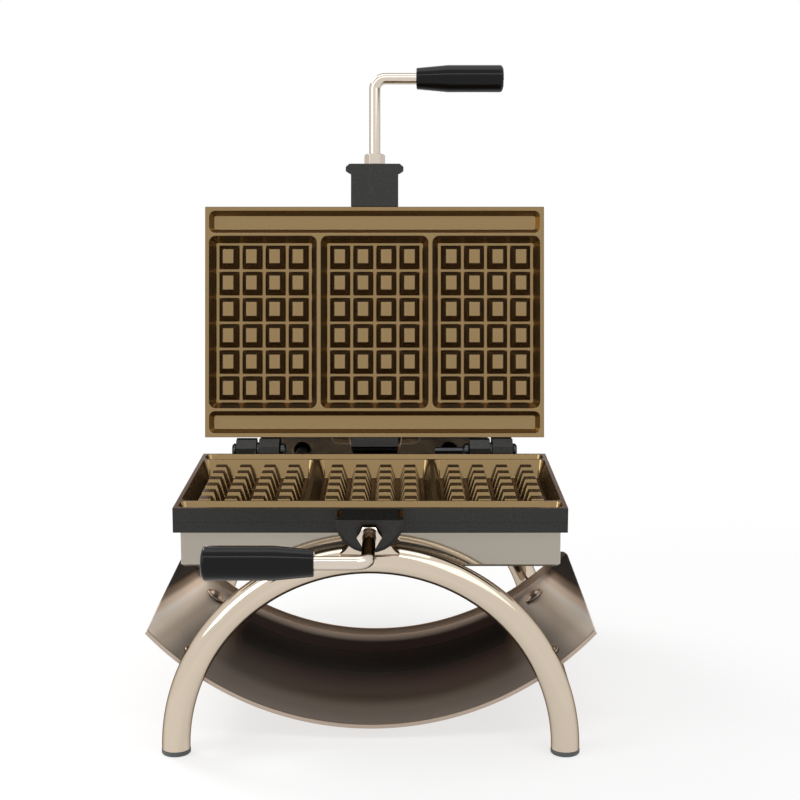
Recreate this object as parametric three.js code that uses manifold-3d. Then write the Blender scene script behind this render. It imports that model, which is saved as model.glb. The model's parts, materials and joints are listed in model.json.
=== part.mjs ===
// Commercial waffle maker: a hinged three-waffle iron that turns in a tubular stand.
// Millimetres. +Z is up, +X is the operator's right, -Y is the front. Z = 0 is the table.
// An iron half is drawn with y = 0 at the front edge of its grid plate, z = 0 on the parting
// plane where the two halves meet, and the body of the half below that plane.

import * as THREE from 'three';
import { mergeVertices } from 'three/addons/utils/BufferGeometryUtils.js';
import Module from 'manifold-3d';

const wasm = await Module();
wasm.setup();

// Clearances
const seat_gap = 0.3;
const parting_gap = 0.3;
const overrun = 4;

// Waffle shapes in a grid plate
const waffle_count = 3;
const waffle_width = 101.1;
const waffle_length = 161.7;
const waffle_depth = 16;
const waffle_draft = 5.4;
const waffle_corner = 6.5;
const waffle_gap = 3.5;
const block_columns = 4;
const block_rows = 6;
const column_groove = 3.1;
const row_groove = 2.7;
const block_height = 14;
const block_draft = 4.1;

// Overflow channels and rims of a grid plate
const side_rim = 3.5;
const end_rim = 3.7;
const channel_width = 19.5;
const channel_depth = 9.5;
const channel_draft = 3.4;
const channel_corner = 4.6;
const channel_land = 3.9;
const rim_depth = 11.5;
const plate_floor = 3;
const well_wall = 3;

// Cast frame under a grid plate and the sheet housing under the frame
const frame_depth = 20.4;
const housing_inset = 5;
const housing_depth = 50;
const housing_corner = 3;
const housing_edge = 2;
const housing_sheet = 1.5;

// Journals that the iron turns on
const journal_radius = 22.2;
const flange_radius = 27.1;
const flange_rim = 4;
const flange_nose = 3;
const flange_nose_step = 3.5;
const flange_back = 3;
const bracket_length = 40.4;
const casting_root = 3;
const beam_drop = 6;
const beam_length = 70;
const stub_length = 12.4;
const cup_radius = 13;
const cup_floor = 3;
const wire_bore_radius = 3.5;

// Hinge of the lid
const lid_open_angle = 100;
const hinge_setback = 12.45;
const knuckle_reach = 11.3;
const knuckle_chamfer = 7;
const knuckle_width = 19;
const inner_knuckle_start = 88.6;
const washer_width = 1.6;
const washer_radius = 8;
const pin_radius = 3.25;
const pin_head_radius = 6.8;
const pin_head_length = 3.8;
const pin_collar_radius = 6.8;
const pin_collar_length = 5.6;
const pin_tail_length = 26.4;

// Handles
const rod_radius = 5.2;
const rod_drop = 11.7;
const rod_reach = 81.7;
const rod_bend = 10;
const rod_socket_depth = 15;
const nut_sides = 6;
const nut_across_flats = 17;
const nut_length = 9.8;
const nut_chamfer = 1.2;
const grip_start = 39;
const grip_length = 83;
const grip_neck_radius = 10.25;
const grip_radius = 13;
const grip_taper_length = 30;
const grip_edge = 3;
const grip_crown = 0.8;
const grip_bore_depth = 60;

// Parts inside a housing
const element_radius = 4.25;
const element_pitch = 38;
const element_runs = 4;
const element_half_run = 118;
const element_tail = 18;
const retainer_sheet = 1.5;
const retainer_width = 290;
const retainer_length = 150;
const retainer_corner = 8;
const insulation_margin = 2;
const probe_radius = 3;
const probe_length = 70;
const stud_radius = 3;
const stud_head_radius = 6.5;
const stud_head_height = 5;

// Stand
const tube_radius = 11.5;
const arch_radius = 157.8;
const foot_cap_thickness = 4;
const foot_cap_overhang = 0.3;
const foot_spigot_radius = 9;
const foot_spigot_length = 12;
const foot_edge = 1;
const saddle_thickness = 3.6;
const front_saddle_half_angle = 88;
const rear_saddle_half_angle = 70;
const saddle_foot_top = 20;
const saddle_foot_half_width = 24;
const saddle_foot_drop = 5;
const saddle_side_margin = 0.5;
const rear_arch_setback = 69;
const stretcher_radius = 6;
const stretcher_outset = 5.56;

// Drip tray
const tray_radius = 250;
const tray_overhang = 15.7;
const tray_clearance = 10.7;
const tray_sheet = 1.5;
const tray_front_lip = 2;
const tray_rear_lip = 6.75;
const tray_lip_corner = 6;
const tray_front_space = 12.7;
const tray_rear_space = 18.5;
const tray_bolt_front_inset = 35;
const tray_bolt_rear_inset = 41.5;
const tray_bolt_radius = 3;
const tray_bolt_washer_radius = 9.3;
const tray_bolt_washer_height = 1.6;
const tray_bolt_head_radius = 7.2;
const tray_bolt_head_height = 4.6;
const tray_bolt_grip = 13;
const dome_break_share = 0.55;

// Rear bearing that closes round the rear journal
const bearing_half_width = 43.6;
const bearing_drop = 8.5;
const bearing_rise = 26;
const bearing_corner = 8;
const bearing_sheet = 3;
const bearing_wall = 2.8;
const collar_length = 12;
const bearing_bolt_spread = 36;
const bearing_bolt_rise = 4;
const bearing_bolt_radius = 2.5;
const bearing_bolt_head_radius = 4.6;
const bearing_bolt_head_height = 3;
const bearing_bolt_length = 12;

// Control box
const box_space = 8.5;
const box_width = 220;
const box_height = 160;
const box_depth = 80;
const box_rise = 60;
const box_corner = 6;
const box_sheet = 1.5;
const cover_recess = 5;
const bracket_spread = 95;
const bracket_size = 24;
const cable_gland_spread = 72;
const cable_gland_drop = 15;
const cable_gland_radius = 8;
const cable_gland_nut_radius = 10;
const cable_gland_reach = 10.5;
const cable_gland_tail = 8;
const cable_gland_rim = 1.5;
const cable_gland_rim_height = 5;
const cord_gland_x = 60;
const cord_gland_reach = 18;
const cord_gland_mouth_radius = 4;
const cord_gland_mouth_depth = 14;

// Controls on the right wall of the box
const controls_setback = 40;
const knob_rise = 22;
const knob_skirt_radius = 19;
const knob_skirt_height = 3;
const knob_radius = 15.5;
const knob_top_radius = 14;
const knob_height = 17;
const knob_edge = 1.5;
const knob_bar_width = 5;
const knob_bar_height = 2.5;
const knob_wall_gap = 0.8;
const shaft_radius = 3;
const shaft_depth = 12;
const thermostat_radius = 16;
const thermostat_length = 24;
const thermostat_step_radius = 11;
const thermostat_step_length = 6;
const switch_drop = 30;
const switch_width = 16;
const switch_height = 30;
const switch_bezel = 2;
const switch_body_margin = 1.6;
const switch_body_depth = 20;
const rocker_width = 10;
const rocker_length = 21;
const rocker_thickness = 6;
const rocker_crown = 1.2;
const rocker_well_depth = 9;
const rocker_sink = 1;
const rocker_tilt = 8;
const rocker_room = 0.7;
const lamp_drop = 64;
const lamp_bezel_radius = 7.5;
const lamp_bezel_height = 1.6;
const lamp_lens_radius = 5.5;
const lamp_lens_height = 4;
const lamp_barrel_radius = 4.4;
const lamp_barrel_length = 16;
const terminal_ways = 5;
const terminal_pitch = 12;
const terminal_depth = 22;
const terminal_height = 16;
const terminal_slot_width = 2;
const terminal_slot_depth = 6;

// Numbers of facets
const tube_sides = 16;
const arch_steps = 20;
const journal_sides = 28;
const rod_sides = 12;
const bend_steps = 4;
const element_sides = 8;
const element_bend_steps = 3;
const small_sides = 12;
const knob_sides = 16;
const hole_sides = 8;
const corner_steps = 3;
const arc_steps = 9;

// Places worked out from the sizes above
const plate_width = waffle_count * waffle_width + (waffle_count - 1) * waffle_gap + 2 * side_rim;
const plate_length = waffle_length + 2 * (channel_land + channel_width + end_rim);
const plate_mid = plate_length / 2;
const face_depth = parting_gap / 2;
const frame_top = rim_depth + seat_gap;
const well_depth = waffle_depth + plate_floor;
const draft_at_rim = waffle_draft * rim_depth / waffle_depth;
const well_half_width = plate_width / 2 - side_rim - draft_at_rim + well_wall;
const well_half_length = waffle_length / 2 - draft_at_rim + well_wall;
const housing_top = frame_depth + seat_gap;
const housing_width = plate_width - 2 * housing_inset;
const housing_length = plate_length - 2 * housing_inset;
const hinge_y = plate_length + hinge_setback;
const outer_knuckle_start = inner_knuckle_start + knuckle_width + washer_width + 2 * seat_gap;
const flange_length = flange_nose + flange_rim + flange_back;
const bend_y = -bracket_length - rod_reach;
const stud_spread = (waffle_width + waffle_gap) / 2;

const saddle_inner = journal_radius + seat_gap;
const saddle_outer = saddle_inner + saddle_thickness;
const foot_level = foot_cap_thickness + seat_gap;
const axis_height = foot_level + arch_radius + tube_radius + seat_gap + saddle_outer;
const front_arch_y = -(bracket_length - flange_length) / 2;
const rear_arch_y = plate_length + rear_arch_setback;
const rear_journal_y = plate_length + beam_length;

const tray_front_y = front_arch_y + tube_radius + tray_front_space;
const tray_rear_y = rear_arch_y - tube_radius - tray_rear_space;
const tray_center_height = tray_clearance + tray_radius;
const tray_inner_radius = tray_radius - tray_sheet;
const tray_half_width = arch_radius + tube_radius + tray_overhang;

// A stretcher's centre lies on a circle under the tray and on one just outside the arch's centre line.
const stretcher_offset = tray_radius + seat_gap + stretcher_radius;
const stretcher_reach = arch_radius + stretcher_outset;
const centers_apart = tray_center_height - foot_level;
const tray_bolt_angle = Math.acos(
  (stretcher_offset ** 2 + centers_apart ** 2 - stretcher_reach ** 2)
  / (2 * stretcher_offset * centers_apart),
);

const box_front_y = rear_arch_y + tube_radius + box_space;
const box_rear_y = box_front_y + box_depth;
const box_top = axis_height + box_rise;
const box_bottom = box_top - box_height;
const box_mid_height = box_bottom + box_height / 2;
const bearing_back_y = box_front_y - seat_gap;
const bearing_front_y = bearing_back_y - bearing_sheet;
const collar_y = bearing_front_y - collar_length;
const rear_journal_end = bearing_front_y - seat_gap;
const controls_y = box_front_y + controls_setback;

const front_end = bend_y - grip_radius;
const middle_y = (front_end + box_rear_y) / 2;

// Materials
function finish(color, roughness, metalness) {
  return new THREE.MeshStandardMaterial({ color, roughness, metalness });
}

const bronze = finish(0x947c56, 0.42, 0.7);
const cast_black = finish(0x2c2d2d, 0.75, 0.1);
const polished_steel = finish(0xcfc4b6, 0.12, 1);
const tube_steel = finish(0xcfc0ae, 0.15, 1);
const rod_steel = finish(0xe0dcd5, 0.1, 1);
const grip_black = finish(0x151616, 0.25, 0);
const cap_grey = finish(0x5f6262, 0.6, 0);
const pin_black = finish(0x24272a, 0.4, 0.6);
const element_grey = finish(0x5a5854, 0.5, 0.8);
const retainer_steel = finish(0xb4b4b0, 0.35, 0.9);
const insulation_white = finish(0xd9d5c8, 0.95, 0);
const brass = finish(0xb08d4a, 0.35, 0.9);
const knob_black = finish(0x1b1b1c, 0.45, 0);
const lamp_amber = finish(0xc8781e, 0.2, 0);
const porcelain = finish(0xe6e2d8, 0.5, 0);

// Solids: joining and cutting
function solid(geometry) {
  const bare = geometry.clone();
  bare.deleteAttribute('normal');
  bare.deleteAttribute('uv');
  const merged = mergeVertices(bare);
  const triangles = [];
  for (let i = 0; i < merged.index.count; i += 3) {
    const a = merged.index.getX(i);
    const b = merged.index.getX(i + 1);
    const c = merged.index.getX(i + 2);
    if (a !== b && b !== c && c !== a) {
      triangles.push(a, b, c);
    }
  }
  const mesh = new wasm.Mesh({
    numProp: 3,
    vertProperties: new Float32Array(merged.attributes.position.array),
    triVerts: new Uint32Array(triangles),
  });
  return new wasm.Manifold(mesh);
}

function geometry_of(body) {
  const mesh = body.getMesh();
  const geometry = new THREE.BufferGeometry();
  geometry.setAttribute('position', new THREE.BufferAttribute(new Float32Array(mesh.vertProperties), 3));
  geometry.setIndex(new THREE.BufferAttribute(new Uint32Array(mesh.triVerts), 1));
  const faceted = geometry.toNonIndexed();
  faceted.computeVertexNormals();
  return faceted;
}

function join(first, ...others) {
  let body = solid(first);
  for (const other of others) {
    body = body.add(solid(other));
  }
  return geometry_of(body);
}

function cut(first, ...others) {
  let body = solid(first);
  for (const other of others) {
    body = body.subtract(solid(other));
  }
  return geometry_of(body);
}

// Outlines
function polygon(points) {
  return new THREE.Shape(points.map(([x, y]) => new THREE.Vector2(x, y)));
}

function circle(radius, sides, turn = 0) {
  const points = [];
  for (let i = 0; i < sides; i += 1) {
    const angle = turn + 2 * Math.PI * i / sides;
    points.push([radius * Math.cos(angle), radius * Math.sin(angle)]);
  }
  return polygon(points);
}

function rounded_points(width, length, radius) {
  const points = [];
  const corners = [[1, 1], [-1, 1], [-1, -1], [1, -1]];
  corners.forEach(([sx, sy], quarter) => {
    for (let i = 0; i <= corner_steps; i += 1) {
      const angle = (quarter + i / corner_steps) * Math.PI / 2;
      const x = sx * (width / 2 - radius) + radius * Math.cos(angle);
      const y = sy * (length / 2 - radius) + radius * Math.sin(angle);
      points.push([x, y]);
    }
  });
  return points;
}

function rounded_rectangle(width, length, radius) {
  return polygon(rounded_points(width, length, radius));
}

// Bodies drawn along an axis
function extrude(shape, depth) {
  return new THREE.ExtrudeGeometry(shape, { depth, bevelEnabled: false, curveSegments: arc_steps });
}

function extrude_up(shape, low, high) {
  return extrude(shape, high - low).translate(0, 0, low);
}

// The outline's x runs along X and its y along Z.
function extrude_back(shape, front, rear) {
  return extrude(shape, rear - front).rotateX(Math.PI / 2).translate(0, rear, 0);
}

// The outline's x runs along Y and its y along Z.
function extrude_across(shape, left, right) {
  const turn = new THREE.Matrix4().makeBasis(
    new THREE.Vector3(0, 1, 0),
    new THREE.Vector3(0, 0, 1),
    new THREE.Vector3(1, 0, 0),
  );
  return extrude(shape, right - left).applyMatrix4(turn).translate(left, 0, 0);
}

function box_between(low, high) {
  const size = high.map((value, axis) => value - low[axis]);
  const middle = high.map((value, axis) => (value + low[axis]) / 2);
  return new THREE.BoxGeometry(...size).translate(...middle);
}

// A profile lists [radius, height] along an outline that starts and ends on the axis or closes up.
function turn_back(profile, sides) {
  const points = profile.map(([radius, height]) => new THREE.Vector2(radius, height));
  return new THREE.LatheGeometry(points, sides);
}

function turn_up(profile, sides) {
  return turn_back(profile, sides).rotateX(Math.PI / 2);
}

function turn_across(profile, sides) {
  return turn_back(profile, sides).rotateZ(-Math.PI / 2);
}

function rod_profile(radius, low, high) {
  return [[0, low], [radius, low], [radius, high], [0, high]];
}

// A ring is a list of [x, y] at one height. Rings of the same count, lowest first, make a loft.
function loft(rings) {
  const count = rings[0].points.length;
  const positions = [];
  for (const ring of rings) {
    for (const [x, y] of ring.points) {
      positions.push(x, y, ring.z);
    }
  }
  const index = [];
  for (let level = 0; level < rings.length - 1; level += 1) {
    for (let i = 0; i < count; i += 1) {
      const a = level * count + i;
      const b = level * count + (i + 1) % count;
      index.push(a, b, b + count, a, b + count, a + count);
    }
  }
  const top = (rings.length - 1) * count;
  for (let i = 1; i < count - 1; i += 1) {
    index.push(0, i + 1, i, top, top + i, top + i + 1);
  }
  const geometry = new THREE.BufferGeometry();
  geometry.setAttribute('position', new THREE.Float32BufferAttribute(positions, 3));
  geometry.setIndex(index);
  return geometry.toNonIndexed();
}

// A bar's centre line: the stations where its section stands, each with a point and a direction.
class StationCurve extends THREE.Curve {
  constructor(stations) {
    super();
    this.stations = stations;
  }

  station(t) {
    return this.stations[Math.round(t * (this.stations.length - 1))];
  }

  getPoint(t, target = new THREE.Vector3()) {
    return target.copy(this.station(t).point);
  }

  getTangent(t, target = new THREE.Vector3()) {
    return target.copy(this.station(t).direction);
  }

  getUtoTmapping(u) {
    return u;
  }
}

function bar_along(stations, radius, sides) {
  return new THREE.ExtrudeGeometry(circle(radius, sides), {
    steps: stations.length - 1,
    extrudePath: new StationCurve(stations),
    bevelEnabled: false,
  });
}

// Straight runs between the corners, with a round bend at each inner corner.
function bent_stations(corners, radius, steps) {
  const stations = [];
  const last = corners.length - 1;
  const heading = (from, to) => corners[to].clone().sub(corners[from]).normalize();
  stations.push({ point: corners[0], direction: heading(0, 1) });
  for (let i = 1; i < last; i += 1) {
    const before = heading(i - 1, i);
    const after = heading(i, i + 1);
    const center = corners[i].clone().addScaledVector(before, -radius).addScaledVector(after, radius);
    for (let step = 0; step <= steps; step += 1) {
      const angle = Math.PI / 2 * step / steps;
      const point = center.clone();
      point.addScaledVector(after, -radius * Math.cos(angle));
      point.addScaledVector(before, radius * Math.sin(angle));
      const direction = before.clone().multiplyScalar(Math.cos(angle));
      direction.addScaledVector(after, Math.sin(angle));
      const previous = stations[stations.length - 1].point;
      if (previous.distanceTo(point) > seat_gap) {
        stations.push({ point, direction });
      }
    }
  }
  stations.push({ point: corners[last], direction: heading(last - 1, last) });
  return stations;
}

// Grid plate: a rim with two overflow channels, and wells full of tapered blocks
function waffle_centers() {
  const centers = [];
  for (let i = 0; i < waffle_count; i += 1) {
    centers.push((i - (waffle_count - 1) / 2) * (waffle_width + waffle_gap));
  }
  return centers;
}

function moved(points, x, y) {
  return points.map(([px, py]) => [px + x, py + y]);
}

// A hollow with sloping walls whose outline shrinks by the draft from the parting plane down.
function tapered_hollow(x, y, width, length, depth, draft, corner) {
  const wall_slope = draft / depth;
  const at_height = (z) => {
    const shrink = -z * wall_slope;
    return {
      z,
      points: moved(rounded_points(width - 2 * shrink, length - 2 * shrink, corner - shrink), x, y),
    };
  };
  return loft([at_height(-depth), at_height(0)]);
}

function block(x, y, base_x, base_y) {
  const outline = (shrink) => moved([
    [base_x / 2 - shrink, base_y / 2 - shrink],
    [shrink - base_x / 2, base_y / 2 - shrink],
    [shrink - base_x / 2, shrink - base_y / 2],
    [base_x / 2 - shrink, shrink - base_y / 2],
  ], x, y);
  return loft([
    { z: -waffle_depth - plate_floor / 2, points: outline(0) },
    { z: -waffle_depth, points: outline(0) },
    { z: block_height - waffle_depth, points: outline(block_draft) },
  ]);
}

function grid_plate() {
  const rim = box_between([-plate_width / 2, 0, -rim_depth], [plate_width / 2, plate_length, -face_depth]);
  const well_ring = (z, shrink) => ({
    z,
    points: moved(
      rounded_points(2 * (well_half_width - shrink), 2 * (well_half_length - shrink), waffle_corner),
      0,
      plate_mid,
    ),
  });
  const wells = loft([
    well_ring(-well_depth, waffle_draft - draft_at_rim),
    well_ring(-rim_depth, 0),
    well_ring(-rim_depth / 2, 0),
  ]);
  let body = solid(rim).add(solid(wells));
  for (const x of waffle_centers()) {
    body = body.subtract(solid(tapered_hollow(
      x, plate_mid, waffle_width, waffle_length, waffle_depth, waffle_draft, waffle_corner,
    )));
  }
  const channel_length = plate_width - 2 * end_rim;
  const channel_inset = end_rim + channel_width / 2;
  for (const y of [channel_inset, plate_length - channel_inset]) {
    body = body.subtract(solid(tapered_hollow(
      0, y, channel_length, channel_width, channel_depth, channel_draft, channel_corner,
    )));
  }
  const base_x = (waffle_width - 2 * waffle_draft - (block_columns + 1) * column_groove) / block_columns;
  const base_y = (waffle_length - 2 * waffle_draft - (block_rows + 1) * row_groove) / block_rows;
  for (const x of waffle_centers()) {
    for (let column = 0; column < block_columns; column += 1) {
      const block_x = x + (column - (block_columns - 1) / 2) * (base_x + column_groove);
      for (let row = 0; row < block_rows; row += 1) {
        const block_y = plate_mid + (row - (block_rows - 1) / 2) * (base_y + row_groove);
        body = body.add(solid(block(block_x, block_y, base_x, base_y)));
      }
    }
  }
  const stud_hole = turn_up(
    rod_profile(stud_radius + seat_gap, -well_depth - overrun, -waffle_depth),
    hole_sides,
  );
  for (const side of [-1, 1]) {
    body = body.subtract(solid(stud_hole.clone().translate(side * stud_spread, plate_mid, 0)));
  }
  return geometry_of(body);
}

// Cast frame: a ring under the plate, with the journals and the hinge knuckles
function above_parting_plane() {
  const reach = 2 * plate_length;
  return box_between([-plate_width, -reach, -face_depth], [plate_width, 2 * reach, plate_width]);
}

function plate_space() {
  return box_between(
    [-plate_width / 2, -seat_gap, -frame_top],
    [plate_width / 2, plate_length + seat_gap, housing_depth],
  );
}

function front_journal() {
  const body = turn_back([
    [0, -bracket_length],
    [flange_radius - flange_nose_step, -bracket_length],
    [flange_radius, flange_nose - bracket_length],
    [flange_radius, flange_nose + flange_rim - bracket_length],
    [journal_radius, flange_length - bracket_length],
    [journal_radius, casting_root],
    [0, casting_root],
  ], journal_sides);
  const socket_end = rod_socket_depth - bracket_length;
  const socket = turn_back(
    rod_profile(rod_radius + seat_gap, -bracket_length - overrun, socket_end),
    rod_sides,
  ).translate(0, 0, -rod_drop);
  return cut(body, above_parting_plane(), plate_space(), socket);
}

function rear_beam_and_journal() {
  const start = plate_length - casting_root;
  const body = turn_back(rod_profile(journal_radius, start, rear_journal_end), journal_sides);
  const lid_space = box_between(
    [-plate_width, 0, -beam_drop],
    [plate_width, rear_journal_y, plate_width],
  );
  const cup_start = rear_journal_y + cup_floor;
  const cup = turn_back(rod_profile(cup_radius, cup_start, rear_journal_end + overrun), small_sides);
  return cut(body, lid_space, plate_space(), cup);
}

function rear_stub() {
  const profile = rod_profile(journal_radius, plate_length - casting_root, plate_length + stub_length);
  return cut(turn_back(profile, journal_sides), above_parting_plane(), plate_space());
}

function wire_bore() {
  const start = plate_mid + well_half_length - overrun;
  const depth = (frame_top + frame_depth) / 2;
  const profile = rod_profile(wire_bore_radius, start, rear_journal_y + cup_floor + overrun);
  return turn_back(profile, hole_sides).translate(0, 0, -depth);
}

function knuckle_outline() {
  const flat = knuckle_reach - knuckle_chamfer;
  return polygon([
    [plate_length - casting_root, -frame_depth],
    [hinge_y, -frame_depth],
    [hinge_y + knuckle_reach, -flat],
    [hinge_y + knuckle_reach, flat],
    [hinge_y + flat, knuckle_reach],
    [hinge_y - flat, knuckle_reach],
    [hinge_y - knuckle_reach, flat],
    [hinge_y - knuckle_reach, -frame_top],
    [plate_length - casting_root, -frame_top],
  ]);
}

function frame_casting(rear_piece, bored) {
  const outline = polygon([
    [-plate_width / 2, 0],
    [plate_width / 2, 0],
    [plate_width / 2, plate_length],
    [-plate_width / 2, plate_length],
  ]);
  const opening_width = 2 * (well_half_width + seat_gap);
  const opening_length = 2 * (well_half_length + seat_gap);
  outline.holes.push(polygon(moved(
    rounded_points(opening_width, opening_length, waffle_corner),
    0,
    plate_mid,
  )));
  const ring = extrude_up(outline, -frame_depth, -frame_top);
  const outer_end = outer_knuckle_start + knuckle_width;
  const outer_knuckle = extrude_across(knuckle_outline(), -outer_end, -outer_knuckle_start);
  const inner_end = inner_knuckle_start + knuckle_width;
  const inner_knuckle = extrude_across(knuckle_outline(), inner_knuckle_start, inner_end);
  const pin_bore = turn_across(
    rod_profile(pin_radius + seat_gap, -outer_end - overrun, outer_end + overrun),
    hole_sides,
  ).translate(0, hinge_y, 0);
  const casting = join(ring, front_journal(), rear_piece, outer_knuckle, inner_knuckle);
  return bored ? cut(casting, pin_bore, wire_bore()) : cut(casting, pin_bore);
}

// Sheet housing: a shallow open box under the frame
function housing() {
  const ring = (z, shrink, corner) => ({
    z,
    points: moved(
      rounded_points(housing_width - 2 * shrink, housing_length - 2 * shrink, corner),
      0,
      plate_mid,
    ),
  });
  const outside = loft([
    ring(-housing_depth, housing_edge, housing_corner),
    ring(housing_edge - housing_depth, 0, housing_corner),
    ring(-housing_top, 0, housing_corner),
  ]);
  const inner_corner = housing_corner - housing_sheet;
  const inside = loft([
    ring(housing_sheet - housing_depth, housing_edge + housing_sheet, inner_corner),
    ring(housing_edge + housing_sheet - housing_depth, housing_sheet, inner_corner),
    ring(overrun - housing_top, housing_sheet, inner_corner),
  ]);
  const hole = turn_up(
    rod_profile(stud_radius + seat_gap, -housing_depth - overrun, overrun - housing_depth),
    hole_sides,
  );
  const holes = [-1, 1].map((side) => hole.clone().translate(side * stud_spread, plate_mid, 0));
  return cut(outside, inside, ...holes);
}

// Heating parts between the plate and the housing
const element_depth = well_depth + seat_gap + element_radius;
const retainer_top = element_depth + element_radius + seat_gap;
const insulation_top = retainer_top + retainer_sheet + seat_gap;
const insulation_bottom = housing_depth - housing_sheet - seat_gap;

function heating_element() {
  const corners = [];
  for (let run = 0; run < element_runs; run += 1) {
    const y = plate_mid + (run - (element_runs - 1) / 2) * element_pitch;
    const heading = run % 2 === 0 ? 1 : -1;
    const first_tail = run === 0 ? element_tail : element_pitch / 2;
    const last_tail = run === element_runs - 1 ? element_tail : element_pitch / 2;
    const start = -heading * (element_half_run + first_tail);
    const end = heading * (element_half_run + last_tail);
    corners.push(new THREE.Vector3(start, y, -element_depth), new THREE.Vector3(end, y, -element_depth));
  }
  const stations = bent_stations(corners, element_pitch / 2, element_bend_steps);
  return bar_along(stations, element_radius, element_sides);
}

function retainer_plate() {
  const shape = rounded_rectangle(retainer_width, retainer_length, retainer_corner);
  const sheet = extrude_up(shape, -retainer_top - retainer_sheet, -retainer_top);
  const hole = turn_up(
    rod_profile(stud_radius + seat_gap, -retainer_top - retainer_sheet - overrun, overrun - retainer_top),
    hole_sides,
  );
  const holes = [-1, 1].map((side) => hole.clone().translate(side * stud_spread, 0, 0));
  return cut(sheet, ...holes).translate(0, plate_mid, 0);
}

function insulation_pad() {
  const inset = 2 * (housing_sheet + housing_edge + insulation_margin);
  const shape = rounded_rectangle(housing_width - inset, housing_length - inset, retainer_corner);
  const pad = extrude_up(shape, -insulation_bottom, -insulation_top);
  const hole = turn_up(
    rod_profile(stud_radius + seat_gap, -insulation_bottom - overrun, overrun - insulation_top),
    hole_sides,
  );
  const holes = [-1, 1].map((side) => hole.clone().translate(side * stud_spread, 0, 0));
  return cut(pad, ...holes).translate(0, plate_mid, 0);
}

function temperature_probe() {
  const depth = well_depth + seat_gap + probe_radius;
  const profile = [
    [0, 0],
    [probe_radius / 2, 0],
    [probe_radius, probe_radius],
    [probe_radius, probe_length - probe_radius],
    [probe_radius / 2, probe_length],
    [0, probe_length],
  ];
  return turn_across(profile, small_sides).translate(-probe_length / 2, plate_mid, -depth);
}

function housing_stud() {
  const head_base = -housing_depth - seat_gap;
  const head_edge = head_base - stud_head_height / 2;
  const head_end = head_base - stud_head_height;
  const profile = [
    [0, head_end],
    [stud_head_radius / 2, head_end],
    [stud_head_radius, head_edge],
    [stud_head_radius, head_base],
    [stud_radius, head_base],
    [stud_radius, -waffle_depth - seat_gap],
    [0, -waffle_depth - seat_gap],
  ];
  return turn_up(profile, small_sides);
}

// Handle: a bent rod that screws into the front journal, a lock nut and a grip
function handle_rod() {
  const start_y = rod_socket_depth - seat_gap - bracket_length;
  const grip_bore_end = grip_start + grip_bore_depth - seat_gap;
  const corners = [
    new THREE.Vector3(0, start_y, -rod_drop),
    new THREE.Vector3(0, bend_y, -rod_drop),
    new THREE.Vector3(-grip_bore_end, bend_y, -rod_drop),
  ];
  return bar_along(bent_stations(corners, rod_bend, bend_steps), rod_radius, rod_sides);
}

function handle_nut() {
  const corner_radius = nut_across_flats / 2 / Math.cos(Math.PI / nut_sides);
  const front = -bracket_length - seat_gap - nut_length;
  const rear = -bracket_length - seat_gap;
  const prism = extrude_back(circle(corner_radius, nut_sides), front, rear);
  const flat_radius = nut_across_flats / 2;
  const turned_blank = turn_back([
    [0, front],
    [flat_radius, front],
    [corner_radius + nut_chamfer / 2, front + nut_chamfer],
    [corner_radius + nut_chamfer / 2, rear],
    [0, rear],
  ], knob_sides);
  const bore = turn_back(rod_profile(rod_radius + seat_gap, front - overrun, rear + overrun), rod_sides);
  const hexagon = geometry_of(solid(prism).intersect(solid(turned_blank)));
  return cut(hexagon, bore).translate(0, 0, -rod_drop);
}

function grip() {
  const end = grip_length;
  const profile = [
    [rod_radius + seat_gap, 0],
    [grip_neck_radius - grip_crown, 0],
    [grip_neck_radius, grip_crown],
    [grip_radius, grip_taper_length],
    [grip_radius, end - grip_edge],
    [grip_radius - grip_edge / 2, end - grip_edge / 2],
    [grip_radius - grip_edge, end - grip_crown],
    [0, end],
    [0, grip_bore_depth],
    [rod_radius + seat_gap, grip_bore_depth],
    [rod_radius + seat_gap, 0],
  ];
  const body = turn_across(profile, knob_sides);
  return body.rotateZ(Math.PI).translate(-grip_start, bend_y, -rod_drop);
}

// Hinge pins and the washers between the knuckles. A pin is drawn for the right hinge.
function hinge_pin(tail) {
  const inner = inner_knuckle_start - seat_gap;
  const outer = outer_knuckle_start + knuckle_width + seat_gap;
  const collar_end = inner - pin_collar_length;
  const round = pin_radius / 2;
  return turn_across([
    [0, collar_end - tail],
    [pin_radius, collar_end - tail],
    [pin_radius, collar_end],
    [pin_collar_radius - round, collar_end],
    [pin_collar_radius, collar_end + round],
    [pin_collar_radius, inner],
    [pin_radius, inner],
    [pin_radius, outer],
    [pin_head_radius, outer],
    [pin_head_radius, outer + pin_head_length - round],
    [pin_head_radius - round, outer + pin_head_length],
    [0, outer + pin_head_length],
  ], small_sides).translate(0, hinge_y, 0);
}

function hinge_washer() {
  const shape = circle(washer_radius, small_sides);
  shape.holes.push(circle(pin_radius + seat_gap, hole_sides));
  const start = inner_knuckle_start + knuckle_width + seat_gap;
  return extrude_across(shape, start, start + washer_width).translate(0, hinge_y, 0);
}

// Stand: two arches of tube joined by stretchers, on foot caps. Heights are above the table.
function arch_stations() {
  const stations = [];
  for (let i = 0; i <= arch_steps; i += 1) {
    const angle = Math.PI * i / arch_steps;
    stations.push({
      point: new THREE.Vector3(arch_radius * Math.cos(angle), 0, foot_level + arch_radius * Math.sin(angle)),
      direction: new THREE.Vector3(-Math.sin(angle), 0, Math.cos(angle)),
    });
  }
  return stations;
}

function arch_clearance(y) {
  return bar_along(arch_stations(), tube_radius + seat_gap, tube_sides).translate(0, y, 0);
}

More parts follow.
